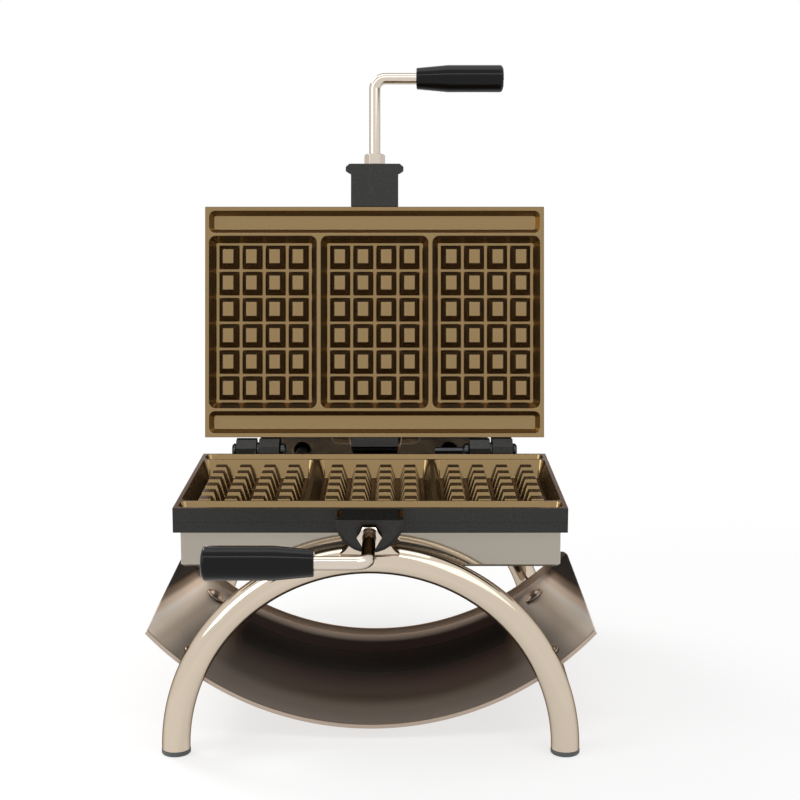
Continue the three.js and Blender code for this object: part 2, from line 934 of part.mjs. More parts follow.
function arch() {
  const bore = turn_up(
    rod_profile(foot_spigot_radius + seat_gap, foot_level - overrun, foot_level + foot_spigot_length),
    tube_sides,
  );
  const bores = [-1, 1].map((side) => bore.clone().translate(side * arch_radius, 0, 0));
  return cut(bar_along(arch_stations(), tube_radius, tube_sides), ...bores);
}

function foot_cap() {
  const radius = tube_radius + foot_cap_overhang;
  return turn_up([
    [0, 0],
    [radius - foot_edge, 0],
    [radius, foot_edge],
    [radius, foot_cap_thickness],
    [foot_spigot_radius, foot_cap_thickness],
    [foot_spigot_radius, foot_level + foot_spigot_length - 2 * seat_gap],
    [0, foot_level + foot_spigot_length - 2 * seat_gap],
  ], tube_sides);
}

// A half round bearing seat on the crown of an arch, open upwards.
function saddle(arch_y, front, rear, half_angle) {
  const reach = THREE.MathUtils.degToRad(half_angle);
  const down = -Math.PI / 2;
  const band = new THREE.Shape();
  band.absarc(0, 0, saddle_outer, down - reach, down + reach, false);
  band.absarc(0, 0, saddle_inner, down + reach, down - reach, true);
  band.closePath();
  const foot = polygon([
    [-saddle_foot_half_width, -saddle_outer - saddle_foot_drop],
    [saddle_foot_half_width, -saddle_outer - saddle_foot_drop],
    [saddle_foot_top, -saddle_foot_top],
    [-saddle_foot_top, -saddle_foot_top],
  ]);
  const room = extrude_back(circle(saddle_inner, journal_sides), front - overrun, rear + overrun);
  const blank = join(extrude_back(band, front, rear), extrude_back(foot, front, rear));
  return cut(cut(blank, room).translate(0, 0, axis_height), arch_clearance(arch_y));
}

function stretcher(side) {
  const angle = tray_bolt_angle;
  const x = side * stretcher_offset * Math.sin(angle);
  const z = tray_center_height - stretcher_offset * Math.cos(angle);
  const profile = rod_profile(stretcher_radius, front_arch_y, rear_arch_y);
  const bar = turn_back(profile, small_sides).translate(x, 0, z);
  const holes = tray_bolt_places().map((y) => bolt_hole(side, y));
  return cut(bar, arch_clearance(front_arch_y), arch_clearance(rear_arch_y), ...holes);
}

// Drip tray: a curved sheet with a turned-up lip at each end
function tray_bolt_places() {
  return [tray_front_y + tray_bolt_front_inset, tray_rear_y - tray_bolt_rear_inset];
}

function bolt_hole(side, y) {
  const profile = rod_profile(tray_bolt_radius + seat_gap, -tray_bolt_grip - overrun, overrun);
  return turn_up(profile, hole_sides).applyMatrix4(bolt_place(side, y));
}

function bolt_place(side, y) {
  const angle = side * tray_bolt_angle;
  const turn = new THREE.Matrix4().makeRotationY(-angle);
  const x = tray_inner_radius * Math.sin(angle);
  const z = tray_center_height - tray_inner_radius * Math.cos(angle);
  return turn.setPosition(x, y, z);
}

function tray_band(inner_radius, corner) {
  const reach = Math.asin(tray_half_width / tray_radius);
  const down = -Math.PI / 2;
  const turn = corner / inner_radius;
  const on_arc = (radius, angle) => [radius * Math.cos(angle), radius * Math.sin(angle)];
  const band = new THREE.Shape();
  band.absarc(0, 0, tray_radius, down - reach, down + reach, false);
  if (corner > 0) {
    band.lineTo(...on_arc(inner_radius + corner, down + reach));
    band.quadraticCurveTo(
      ...on_arc(inner_radius, down + reach),
      ...on_arc(inner_radius, down + reach - turn),
    );
  }
  band.absarc(0, 0, inner_radius, down + reach - turn, down - reach + turn, true);
  if (corner > 0) {
    band.quadraticCurveTo(
      ...on_arc(inner_radius, down - reach),
      ...on_arc(inner_radius + corner, down - reach),
    );
  }
  band.closePath();
  return band;
}

function drip_tray() {
  const front_inner = tray_inner_radius - tray_front_lip;
  const rear_inner = tray_inner_radius - tray_rear_lip;
  const sheet = extrude_back(tray_band(tray_inner_radius, 0), tray_front_y, tray_rear_y);
  const front_lip = extrude_back(tray_band(front_inner, 0), tray_front_y, tray_front_y + tray_sheet);
  const rear_band = tray_band(rear_inner, tray_lip_corner);
  const rear_lip = extrude_back(rear_band, tray_rear_y - tray_sheet, tray_rear_y);
  const tray = join(sheet, front_lip, rear_lip).translate(0, 0, tray_center_height);
  const holes = [-1, 1].flatMap((side) => tray_bolt_places().map((y) => bolt_hole(side, y)));
  return cut(tray, ...holes);
}

function tray_bolt() {
  const base = seat_gap + tray_bolt_washer_radius ** 2 / tray_inner_radius;
  const shoulder = base + tray_bolt_washer_height;
  const dome = (share) => [
    tray_bolt_head_radius * Math.cos(share * Math.PI / 2),
    shoulder + (tray_bolt_head_height - tray_bolt_washer_height) * Math.sin(share * Math.PI / 2),
  ];
  const shank_end = base - tray_bolt_grip;
  return turn_up([
    [0, shank_end],
    [tray_bolt_radius, shank_end],
    [tray_bolt_radius, base],
    [tray_bolt_washer_radius, base],
    [tray_bolt_washer_radius, shoulder],
    dome(0),
    dome(dome_break_share),
    [0, dome(1)[1]],
  ], small_sides);
}

// Rear bearing: a plate against the box with a collar that closes round the journal
function rear_bearing() {
  const tall = bearing_rise + bearing_drop;
  const plate = rounded_rectangle(2 * bearing_half_width, tall, bearing_corner);
  const lift = bearing_rise - tall / 2;
  const flange = extrude_back(plate, bearing_front_y, bearing_back_y).translate(0, 0, lift);
  const collar_radius = saddle_inner + bearing_wall;
  const hub = extrude_back(
    circle(collar_radius, journal_sides),
    collar_y,
    bearing_back_y,
  );
  const room = extrude_back(
    circle(saddle_inner, journal_sides),
    collar_y - overrun,
    bearing_front_y,
  );
  const wire_hole = extrude_back(circle(cup_radius, small_sides), bearing_front_y - overrun, box_front_y);
  const bolt_holes = [-1, 1].map((side) => turn_back(
    rod_profile(bearing_bolt_radius + seat_gap, bearing_front_y - overrun, bearing_back_y + overrun),
    hole_sides,
  ).translate(side * bearing_bolt_spread, 0, bearing_bolt_rise));
  return cut(join(flange, hub), room, wire_hole, ...bolt_holes).translate(0, 0, axis_height);
}

function bearing_bolt() {
  const under_head = bearing_front_y - seat_gap;
  const edge = under_head - bearing_bolt_head_height / 2;
  const top = under_head - bearing_bolt_head_height;
  return turn_back([
    [0, top],
    [bearing_bolt_head_radius / 2, top],
    [bearing_bolt_head_radius, edge],
    [bearing_bolt_head_radius, under_head],
    [bearing_bolt_radius, under_head],
    [bearing_bolt_radius, under_head + bearing_bolt_length],
    [0, under_head + bearing_bolt_length],
  ], small_sides);
}

// Control box behind the rear arch
function control_box() {
  const outline = (shrink) => rounded_rectangle(
    box_width - 2 * shrink,
    box_height - 2 * shrink,
    box_corner - shrink,
  );
  const outside = extrude_back(outline(0), box_front_y, box_rear_y);
  const inside = extrude_back(outline(box_sheet), box_front_y + box_sheet, box_rear_y + overrun);
  const shell = cut(outside, inside).translate(0, 0, box_mid_height);
  const front_hole = (radius, x, z) => turn_back(
    rod_profile(radius, box_front_y - overrun, box_front_y + box_sheet + overrun),
    small_sides,
  ).translate(x, 0, z);
  const side_hole = (radius, z) => turn_across(
    rod_profile(radius, box_width / 2 - box_sheet - overrun, box_width / 2 + overrun),
    small_sides,
  ).translate(0, controls_y, z);
  const cord_hole = turn_up(
    rod_profile(cable_gland_radius + seat_gap, box_bottom - overrun, box_bottom + box_sheet + overrun),
    small_sides,
  ).translate(-cord_gland_x, controls_y, 0);
  const cutout_half_width = switch_width / 2 - switch_body_margin + seat_gap;
  const cutout_half_height = switch_height / 2 - switch_body_margin + seat_gap;
  const switch_cutout = box_between(
    [box_width / 2 - box_sheet - overrun, -cutout_half_width, -cutout_half_height],
    [box_width / 2 + overrun, cutout_half_width, cutout_half_height],
  ).translate(0, controls_y, axis_height - switch_drop);
  const holes = [
    front_hole(cup_radius, 0, axis_height),
    side_hole(shaft_radius + seat_gap, axis_height + knob_rise),
    side_hole(lamp_barrel_radius + seat_gap, axis_height - lamp_drop),
    switch_cutout,
    cord_hole,
  ];
  for (const side of [-1, 1]) {
    const gland_height = axis_height - cable_gland_drop;
    holes.push(front_hole(cable_gland_radius + seat_gap, side * cable_gland_spread, gland_height));
    const bolt_height = axis_height + bearing_bolt_rise;
    holes.push(front_hole(bearing_bolt_radius + seat_gap, side * bearing_bolt_spread, bolt_height));
  }
  return cut(shell, ...holes);
}

function box_cover() {
  const shrink = 2 * (box_sheet + seat_gap);
  const shape = rounded_rectangle(box_width - shrink, box_height - shrink, box_corner - box_sheet);
  const rear = box_rear_y - cover_recess;
  return extrude_back(shape, rear - box_sheet, rear).translate(0, 0, box_mid_height);
}

function box_bracket(side) {
  const drop = arch_radius - Math.sqrt(arch_radius ** 2 - bracket_spread ** 2);
  const z = foot_level + arch_radius - drop;
  const half = bracket_size / 2;
  const bracket = box_between(
    [-half, rear_arch_y, z - half],
    [half, box_front_y - seat_gap, z + half],
  ).translate(side * bracket_spread, 0, 0);
  return cut(bracket, arch_clearance(rear_arch_y));
}

// Cable gland, drawn along Y with its nut towards the front and y = 0 on the box wall.
function cable_gland() {
  const nut_end = -cable_gland_reach + cable_gland_rim_height;
  return turn_back([
    [0, -cable_gland_reach + cable_gland_rim],
    [cable_gland_radius - 2 * cable_gland_rim, -cable_gland_reach + cable_gland_rim],
    [cable_gland_radius - cable_gland_rim, -cable_gland_reach],
    [cable_gland_radius, -cable_gland_reach],
    [cable_gland_nut_radius, nut_end],
    [cable_gland_nut_radius, -seat_gap],
    [cable_gland_radius, -seat_gap],
    [cable_gland_radius, cable_gland_tail],
    [0, cable_gland_tail],
  ], small_sides);
}

// Strain relief for the mains cord, drawn along Z with its open mouth down and z = 0 on the wall.
function cord_gland() {
  const mouth = -cord_gland_reach;
  return turn_up([
    [0, mouth + cord_gland_mouth_depth],
    [cord_gland_mouth_radius, mouth + cord_gland_mouth_depth],
    [cord_gland_mouth_radius, mouth],
    [cable_gland_radius - cable_gland_rim, mouth],
    [cable_gland_nut_radius, mouth + cable_gland_rim_height],
    [cable_gland_nut_radius, -seat_gap],
    [cable_gland_radius, -seat_gap],
    [cable_gland_radius, cable_gland_tail],
    [0, cable_gland_tail],
  ], small_sides);
}

// Controls, drawn along X with x = 0 on the outside of the box wall
function thermostat_knob() {
  const shoulder = knob_wall_gap + knob_skirt_height;
  const body = turn_across([
    [0, -box_sheet - seat_gap - shaft_depth],
    [shaft_radius, -box_sheet - seat_gap - shaft_depth],
    [shaft_radius, knob_wall_gap],
    [knob_skirt_radius, knob_wall_gap],
    [knob_skirt_radius, shoulder - knob_edge],
    [knob_radius, shoulder],
    [knob_top_radius, knob_height - knob_edge],
    [knob_top_radius - knob_edge, knob_height],
    [0, knob_height],
  ], knob_sides);
  const bar = box_between(
    [knob_height - knob_bar_height, -knob_bar_width / 2, -knob_top_radius + knob_edge],
    [knob_height + knob_bar_height, knob_bar_width / 2, knob_top_radius - knob_edge],
  );
  return join(body, bar);
}

function thermostat_body() {
  const face = -box_sheet - seat_gap;
  const rear = face - thermostat_length;
  const body = turn_across([
    [0, rear],
    [thermostat_step_radius, rear],
    [thermostat_step_radius, rear + thermostat_step_length],
    [thermostat_radius, rear + thermostat_step_length],
    [thermostat_radius, face],
    [0, face],
  ], small_sides);
  const bore = turn_across(
    rod_profile(shaft_radius + seat_gap, face - shaft_depth - seat_gap, face + overrun),
    hole_sides,
  );
  return cut(body, bore);
}

function switch_body() {
  const bezel = box_between(
    [seat_gap, -switch_width / 2, -switch_height / 2],
    [seat_gap + switch_bezel, switch_width / 2, switch_height / 2],
  );
  const half_width = switch_width / 2 - switch_body_margin;
  const half_height = switch_height / 2 - switch_body_margin;
  const body = box_between(
    [-switch_body_depth, -half_width, -half_height],
    [switch_bezel, half_width, half_height],
  );
  const well_half_y = rocker_width / 2 + seat_gap;
  const well_half_z = rocker_length / 2 + rocker_room;
  const well = box_between(
    [-rocker_well_depth, -well_half_y, -well_half_z],
    [switch_bezel + overrun, well_half_y, well_half_z],
  );
  return cut(join(bezel, body), well);
}

// The rocker's x = 0, z = 0 is its pivot.
function power_rocker() {
  const half = rocker_length / 2;
  const shape = polygon([
    [-rocker_thickness / 2, -half],
    [rocker_thickness / 2, -half],
    [rocker_thickness / 2 - rocker_crown, 0],
    [rocker_thickness / 2, half],
    [-rocker_thickness / 2, half],
    [-rocker_thickness / 2 - rocker_crown, 0],
  ]);
  return extrude_back(shape, -rocker_width / 2, rocker_width / 2);
}

function pilot_lamp() {
  const shoulder = seat_gap + lamp_bezel_height;
  const slant = Math.SQRT1_2;
  return turn_across([
    [0, -lamp_barrel_length],
    [lamp_barrel_radius, -lamp_barrel_length],
    [lamp_barrel_radius, seat_gap],
    [lamp_bezel_radius, seat_gap],
    [lamp_bezel_radius, shoulder],
    [lamp_lens_radius, shoulder],
    [lamp_lens_radius * slant, shoulder + lamp_lens_height * slant],
    [0, shoulder + lamp_lens_height],
  ], small_sides);
}

function terminal_block() {
  const half = terminal_ways * terminal_pitch / 2;
  const low = -terminal_height / 2;
  const high = terminal_height / 2;
  const body = box_between([-half, -terminal_depth / 2, low], [half, terminal_depth / 2, high]);
  const slots = [];
  for (let i = 1; i < terminal_ways; i += 1) {
    const x = i * terminal_pitch - half;
    slots.push(box_between(
      [x - terminal_slot_width / 2, -terminal_depth, high - terminal_slot_depth],
      [x + terminal_slot_width / 2, terminal_depth, high + overrun],
    ));
  }
  return cut(body, ...slots);
}

// The assembly
function piece(parent, name, geometry, material, x = 0, y = 0, z = 0) {
  const mesh = new THREE.Mesh(geometry, material);
  mesh.name = name;
  mesh.position.set(x, y, z);
  parent.add(mesh);
  return mesh;
}

// Both halves share a design, apart from the casting's rear end. The upper half is drawn like
// the lower one and turned over about the Y axis.
function iron_half(parent, prefix, casting) {
  piece(parent, `${prefix}_grid_plate`, grid_plate(), bronze);
  piece(parent, `${prefix}_frame`, casting, cast_black);
  piece(parent, `${prefix}_housing`, housing(), polished_steel);
  piece(parent, `${prefix}_heating_element`, heating_element(), element_grey);
  piece(parent, `${prefix}_element_retainer`, retainer_plate(), retainer_steel);
  piece(parent, `${prefix}_insulation`, insulation_pad(), insulation_white);
  piece(parent, `${prefix}_temperature_probe`, temperature_probe(), brass);
  piece(parent, `${prefix}_stud_left`, housing_stud(), rod_steel, -stud_spread, plate_mid);
  piece(parent, `${prefix}_stud_right`, housing_stud(), rod_steel, stud_spread, plate_mid);
  piece(parent, `${prefix}_handle_rod`, handle_rod(), rod_steel);
  piece(parent, `${prefix}_handle_nut`, handle_nut(), rod_steel);
  piece(parent, `${prefix}_grip`, grip(), grip_black);
}

function turning_iron(parent) {
  const iron = new THREE.Group();
  iron.position.z = axis_height;
  parent.add(iron);
  iron_half(iron, 'lower', frame_casting(rear_beam_and_journal(), true));
  piece(iron, 'right_hinge_pin', hinge_pin(pin_tail_length), pin_black);
  piece(iron, 'right_hinge_washer', hinge_washer(), pin_black);
  const left_pin = piece(iron, 'left_hinge_pin', hinge_pin(0), pin_black, 0, 2 * hinge_y);
  left_pin.rotation.z = Math.PI;
  const left_washer = piece(iron, 'left_hinge_washer', hinge_washer(), pin_black, 0, 2 * hinge_y);
  left_washer.rotation.z = Math.PI;

  const lid = new THREE.Group();
  lid.position.y = hinge_y;
  lid.rotation.x = THREE.MathUtils.degToRad(-lid_open_angle);
  iron.add(lid);
  const upper_half = new THREE.Group();
  upper_half.position.y = -hinge_y;
  upper_half.rotation.y = Math.PI;
  lid.add(upper_half);
  iron_half(upper_half, 'upper', frame_casting(rear_stub(), false));
}

function stand(parent) {
  const arches = [['front', front_arch_y], ['rear', rear_arch_y]];
  for (const [end, y] of arches) {
    piece(parent, `${end}_arch`, arch(), tube_steel, 0, y);
    piece(parent, `${end}_left_foot_cap`, foot_cap(), cap_grey, -arch_radius, y);
    piece(parent, `${end}_right_foot_cap`, foot_cap(), cap_grey, arch_radius, y);
  }
  const reach = tube_radius - saddle_side_margin;
  const front_saddle = saddle(
    front_arch_y, front_arch_y - reach, front_arch_y + reach, front_saddle_half_angle,
  );
  piece(parent, 'front_saddle', front_saddle, tube_steel);
  const rear_saddle = saddle(
    rear_arch_y, rear_arch_y - reach, collar_y - seat_gap, rear_saddle_half_angle,
  );
  piece(parent, 'rear_saddle', rear_saddle, tube_steel);
  piece(parent, 'drip_tray', drip_tray(), tube_steel);
  const [front_bolt_y, rear_bolt_y] = tray_bolt_places();
  const sides = [['left', -1], ['right', 1]];
  for (const [side_name, side] of sides) {
    piece(parent, `${side_name}_stretcher`, stretcher(side), tube_steel);
    for (const [end, y] of [['front', front_bolt_y], ['rear', rear_bolt_y]]) {
      const bolt = piece(parent, `${end}_${side_name}_tray_bolt`, tray_bolt(), rod_steel);
      bolt.applyMatrix4(bolt_place(side, y));
    }
    const bolt_x = side * bearing_bolt_spread;
    const bolt_z = axis_height + bearing_bolt_rise;
    piece(parent, `${side_name}_bearing_bolt`, bearing_bolt(), rod_steel, bolt_x, 0, bolt_z);
  }
  piece(parent, 'rear_bearing', rear_bearing(), tube_steel);
}

function controls(parent) {
  piece(parent, 'control_box', control_box(), polished_steel);
  piece(parent, 'control_box_cover', box_cover(), polished_steel);
  const wall_x = box_width / 2;
  const sides = [['left', -1], ['right', 1]];
  for (const [side_name, side] of sides) {
    piece(parent, `${side_name}_box_bracket`, box_bracket(side), tube_steel);
    const gland_x = side * cable_gland_spread;
    const gland_height = axis_height - cable_gland_drop;
    piece(parent, `${side_name}_cable_gland`, cable_gland(), knob_black, gland_x, box_front_y, gland_height);
  }
  piece(parent, 'cord_gland', cord_gland(), knob_black, -cord_gland_x, controls_y, box_bottom);
  const knob_z = axis_height + knob_rise;
  piece(parent, 'thermostat_body', thermostat_body(), porcelain, wall_x, controls_y, knob_z);
  piece(parent, 'thermostat_knob', thermostat_knob(), knob_black, wall_x, controls_y, knob_z);
  const switch_z = axis_height - switch_drop;
  piece(parent, 'switch_body', switch_body(), knob_black, wall_x, controls_y, switch_z);
  const rocker_x = wall_x - rocker_sink;
  const rocker = piece(parent, 'power_rocker', power_rocker(), knob_black, rocker_x, controls_y, switch_z);
  rocker.rotation.y = THREE.MathUtils.degToRad(rocker_tilt);
  piece(parent, 'pilot_lamp', pilot_lamp(), lamp_amber, wall_x, controls_y, axis_height - lamp_drop);
  const terminal_z = box_bottom + box_sheet + seat_gap + terminal_height / 2;
  piece(parent, 'terminal_block', terminal_block(), porcelain, 0, controls_y, terminal_z);
}

const machine = new THREE.Group();
machine.position.y = -middle_y;
turning_iron(machine);
stand(machine);
controls(machine);

export default machine;
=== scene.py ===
import json
import math

import bmesh
import bpy
from mathutils import Matrix, Vector


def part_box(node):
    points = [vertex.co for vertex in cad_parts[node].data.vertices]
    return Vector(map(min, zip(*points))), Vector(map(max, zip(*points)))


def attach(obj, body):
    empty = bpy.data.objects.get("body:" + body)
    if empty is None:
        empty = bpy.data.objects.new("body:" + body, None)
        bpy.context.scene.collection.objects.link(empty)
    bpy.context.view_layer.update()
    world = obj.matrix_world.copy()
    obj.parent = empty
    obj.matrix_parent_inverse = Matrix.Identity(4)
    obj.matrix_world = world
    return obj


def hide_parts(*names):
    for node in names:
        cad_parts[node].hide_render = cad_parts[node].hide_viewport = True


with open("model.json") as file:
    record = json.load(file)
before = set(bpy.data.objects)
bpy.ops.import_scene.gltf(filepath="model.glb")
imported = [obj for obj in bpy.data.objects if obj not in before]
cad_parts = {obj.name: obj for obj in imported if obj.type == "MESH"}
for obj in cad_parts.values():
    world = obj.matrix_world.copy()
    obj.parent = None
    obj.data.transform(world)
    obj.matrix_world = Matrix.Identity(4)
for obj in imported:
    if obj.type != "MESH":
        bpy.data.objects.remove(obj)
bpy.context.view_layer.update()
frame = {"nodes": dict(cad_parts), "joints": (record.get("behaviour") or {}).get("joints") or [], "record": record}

nodes = frame["nodes"]
joints = {joint["name"]: joint for joint in frame["joints"]}
body_of_node = {
    node: body
    for body, members in frame["record"]["behaviour"]["bodies"].items()
    for node in members
}
slot_of_node = {row["node"]: row["material_slot"] for row in frame["record"]["subparts"]}

MM = 0.001
RIGHT = Vector((1, 0, 0))
BACK = Vector((0, 1, 0))
UP = Vector((0, 0, 1))

# Camera, fitted to the photograph
LENS_MM = 75
SENSOR_MM = 36
CAMERA_PLACE = Vector((23.8, -1424.9, 514.3)) * MM
CAMERA_PITCH = math.radians(9.88)

# Light. World and floor look white to the camera and in gloss, and light the object less than that.
BACKGROUND_LIGHT = 1.0
WORLD_LIGHT = 0.34
FLOOR_GLOW = 0.68
FLOOR_SHADE = 0.36
FLOOR_ALBEDO = 0.80
FLOOR_HALF = 6.0
SHADOW_REACH = (0.45, 0.95)
LAMP_TARGET = Vector((0, 0, 0.2))
# Each lamp's name, place, size and watts
SOFTBOXES = [
    ("key_softbox", (-1.3, 1.3, 1.8), (0.9, 0.9), 22),
    ("left_softbox", (-1.6, -1.0, 1.15), (0.9, 1.1), 9.5),
    ("right_softbox", (1.15, -1.1, 1.7), (1.7, 1.3), 6.5),
    ("strip_softbox", (0.0, -1.25, 1.75), (3.2, 0.16), 8),
    ("top_softbox", (0.0, 0.3, 2.3), (1.8, 0.9), 7),
    ("back_softbox", (0.0, 2.0, 0.42), (1.3, 0.3), 5),
]

# Making of meshes
SAME_POINT = 0.01 * MM
SAME_PLANE = 0.05 * MM
FLAT_ANGLE = math.radians(1)
CREASE_ANGLE = math.radians(30)
SHARP_ANGLE = math.radians(42)
ROUND_SIDES = 64
TUBE_SIDES = 64
ARCH_STEPS = 160
BEND_STEPS = 16
FILLET_STEPS = 4
# The largest share of a side that one fillet takes
FILLET_LIMIT = 0.45
BEVEL_SEGMENTS = 2
BEVEL_ROUND = 0.5

# Rounded edges of the pieces that keep their node's shape, in millimetres
FRAME_EDGE = 0.3
HOUSING_EDGE = 0.5
NUT_EDGE = 0.2
WASHER_EDGE = 0.2
STRETCHER_EDGE = 0.3
BEARING_EDGE = 0.5
BOX_EDGE = 0.4
MOULDING_EDGE = 0.3

# Fillets of the turned pieces, in millimetres
GRIP_FILLET = 3.2
STUD_FILLET = 1.2
HINGE_PIN_FILLET = 1.0
FOOT_CAP_FILLET = 0.8
BEARING_BOLT_FILLET = 0.8
TRAY_BOLT_FILLET = 0.9
CABLE_GLAND_FILLET = 2.0
CORD_GLAND_FILLET = 0.7
PILOT_LAMP_FILLET = 0.9

# The iron half is the same above and below: this carries a point of the lower half to the open lid.
TURN_AXIS = Vector(joints["iron_turn"]["pos_m"])
HINGE = Vector(joints["lid_hinge"]["pos_m"])
OPEN_ANGLE = math.radians(joints["lid_hinge"]["range_deg"][1])
TO_LID = (
    Matrix.Translation(HINGE)
    @ Matrix.Rotation(-OPEN_ANGLE, 4, "X")
    @ Matrix.Translation(TURN_AXIS - HINGE)
    @ Matrix.Rotation(math.pi, 4, "Y")
    @ Matrix.Translation(-TURN_AXIS)
)
HALVES = [("lower", Matrix.Identity(4)), ("upper", TO_LID)]


# Shader nodes
def feed(tree, socket, term):
    """Links another node's output to the socket, or sets the socket to a plain value."""
    if isinstance(term, bpy.types.NodeSocket):
        tree.links.new(term, socket)
    else:
        socket.default_value = term


def worked_out(tree, operation, *terms):
    """The result of a Math node, whose terms are numbers or outputs of other nodes."""
    node = tree.nodes.new("ShaderNodeMath")
    node.operation = operation
    for socket, term in zip(node.inputs, terms):
        feed(tree, socket, term)
    return node.outputs["Value"]


def remapped(tree, value, source=(0, 1), target=(0, 1), eased=False):
    """The value, moved from one span to another and kept inside it."""
    spread = tree.nodes.new("ShaderNodeMapRange")
    if eased:
        spread.interpolation_type = "SMOOTHSTEP"
    for socket, number in zip(("From Min", "From Max", "To Min", "To Max"), (*source, *target)):
        spread.inputs[socket].default_value = number
    tree.links.new(value, spread.inputs["Value"])
    return spread.outputs["Result"]


def blended(tree, share, first, second):
    """A colour between two, each of them a colour or an output of another node."""
    mix = tree.nodes.new("ShaderNodeMix")
    mix.data_type = "RGBA"
    tree.links.new(share, mix.inputs["Factor"])
    feed(tree, mix.inputs["A"], first)
    feed(tree, mix.inputs["B"], second)
    return mix.outputs["Result"]


def color_ramp(tree, value, stops):
    """A colour for each value between 0 and 1, from (value, colour) stops."""
    ramp = tree.nodes.new("ShaderNodeValToRGB")
    while len(ramp.color_ramp.elements) < len(stops):
        ramp.color_ramp.elements.new(1)
    for element, (position, color) in zip(ramp.color_ramp.elements, stops):
        element.position = position
        element.color = (*color, 1)
    ramp.color_ramp.interpolation = "EASE"
    tree.links.new(value, ramp.inputs["Fac"])
    return ramp.outputs["Color"]


# Materials
class Surface:
    """A Principled material, with short ways to add textures to it."""

    def __init__(self, name, color, roughness, metallic=0.0, **settings):
        self.material = bpy.data.materials.new(name)
        self.material.use_nodes = True
        self.tree = self.material.node_tree
        self.shader = self.tree.nodes["Principled BSDF"]
        self.shader.inputs["Base Color"].default_value = (*color, 1)
        self.shader.inputs["Roughness"].default_value = roughness
        self.shader.inputs["Metallic"].default_value = metallic
        for socket, value in settings.items():
            self.shader.inputs[socket.replace("_", " ")].default_value = value

    def noise(self, per_metre, detail=3.0, stretch=(1, 1, 1)):
        """Noise with about per_metre features in a metre, finer along the axes with a larger stretch."""
        place = self.tree.nodes.new("ShaderNodeTexCoord")
        mapping = self.tree.nodes.new("ShaderNodeMapping")
        mapping.inputs["Scale"].default_value = stretch
        texture = self.tree.nodes.new("ShaderNodeTexNoise")
        texture.inputs["Scale"].default_value = per_metre
        texture.inputs["Detail"].default_value = detail
        self.tree.links.new(place.outputs["Object"], mapping.inputs["Vector"])
        self.tree.links.new(mapping.outputs["Vector"], texture.inputs["Vector"])
        return texture.outputs["Fac"]

    def vary_color(self, value, dark, light):
        color = blended(self.tree, value, (*dark, 1), (*light, 1))
        self.tree.links.new(color, self.shader.inputs["Base Color"])

    def vary_roughness(self, value, smooth, rough):
        roughness = remapped(self.tree, value, target=(smooth, rough))
        self.tree.links.new(roughness, self.shader.inputs["Roughness"])

    def relief(self, value, depth_mm, strength):
        bump = self.tree.nodes.new("ShaderNodeBump")
        bump.inputs["Distance"].default_value = depth_mm * MM
        bump.inputs["Strength"].default_value = strength
        self.tree.links.new(value, bump.inputs["Height"])
        self.tree.links.new(bump.outputs["Normal"], self.shader.inputs["Normal"])


# A coating's grain: how many grains make a patch of tone and one of gloss, and how the gloss varies
GRAINS_PER_TONE = 4
GRAINS_PER_GLOSS = 9
GRAIN_GLOSS = (0.88, 1.12)
GRAIN_DETAIL = 5
GRAIN_STRENGTH = 0.6

# Drawn metal: patches of tone in a metre and their spread, and how the gloss varies from line to line
METAL_TONES = 18
METAL_SPREAD = 0.04
LINE_GLOSS = (0.8, 1.25)
LINE_DETAIL = 2
LINE_STRENGTH = 0.3
# The axis that the lines run along
ALONG_X = (0.03, 1, 1)
ALONG_Y = (1, 0.03, 1)


def scaled(values, factor):
    return tuple(value * factor for value in values)


def speckled(name, color, roughness, grain, depth_mm, spread=0.12, metallic=0.0, **settings):
    """A coated or moulded surface: slight patches of tone, and a fine grain that the light catches."""
    surface = Surface(name, color, roughness, metallic, **settings)
    tone = surface.noise(grain / GRAINS_PER_TONE)
    surface.vary_color(tone, scaled(color, 1 - spread), scaled(color, 1 + spread))
    gloss = surface.noise(grain / GRAINS_PER_GLOSS)
    surface.vary_roughness(gloss, *scaled(GRAIN_GLOSS, roughness))
    surface.relief(surface.noise(grain, detail=GRAIN_DETAIL), depth_mm, GRAIN_STRENGTH)
    return surface.material


def brushed(name, color, roughness, lines, stretch, depth_mm=0.004, metallic=1.0, **settings):
    """Drawn or rolled metal: fine lines along one axis, with slight patches of tone."""
    surface = Surface(name, color, roughness, metallic, **settings)
    tone = surface.noise(METAL_TONES)
    surface.vary_color(tone, scaled(color, 1 - METAL_SPREAD), scaled(color, 1 + METAL_SPREAD))
    drawn = surface.noise(lines, detail=LINE_DETAIL, stretch=stretch)
    surface.vary_roughness(drawn, *scaled(LINE_GLOSS, roughness))
    surface.relief(drawn, depth_mm, LINE_STRENGTH)
    return surface.material


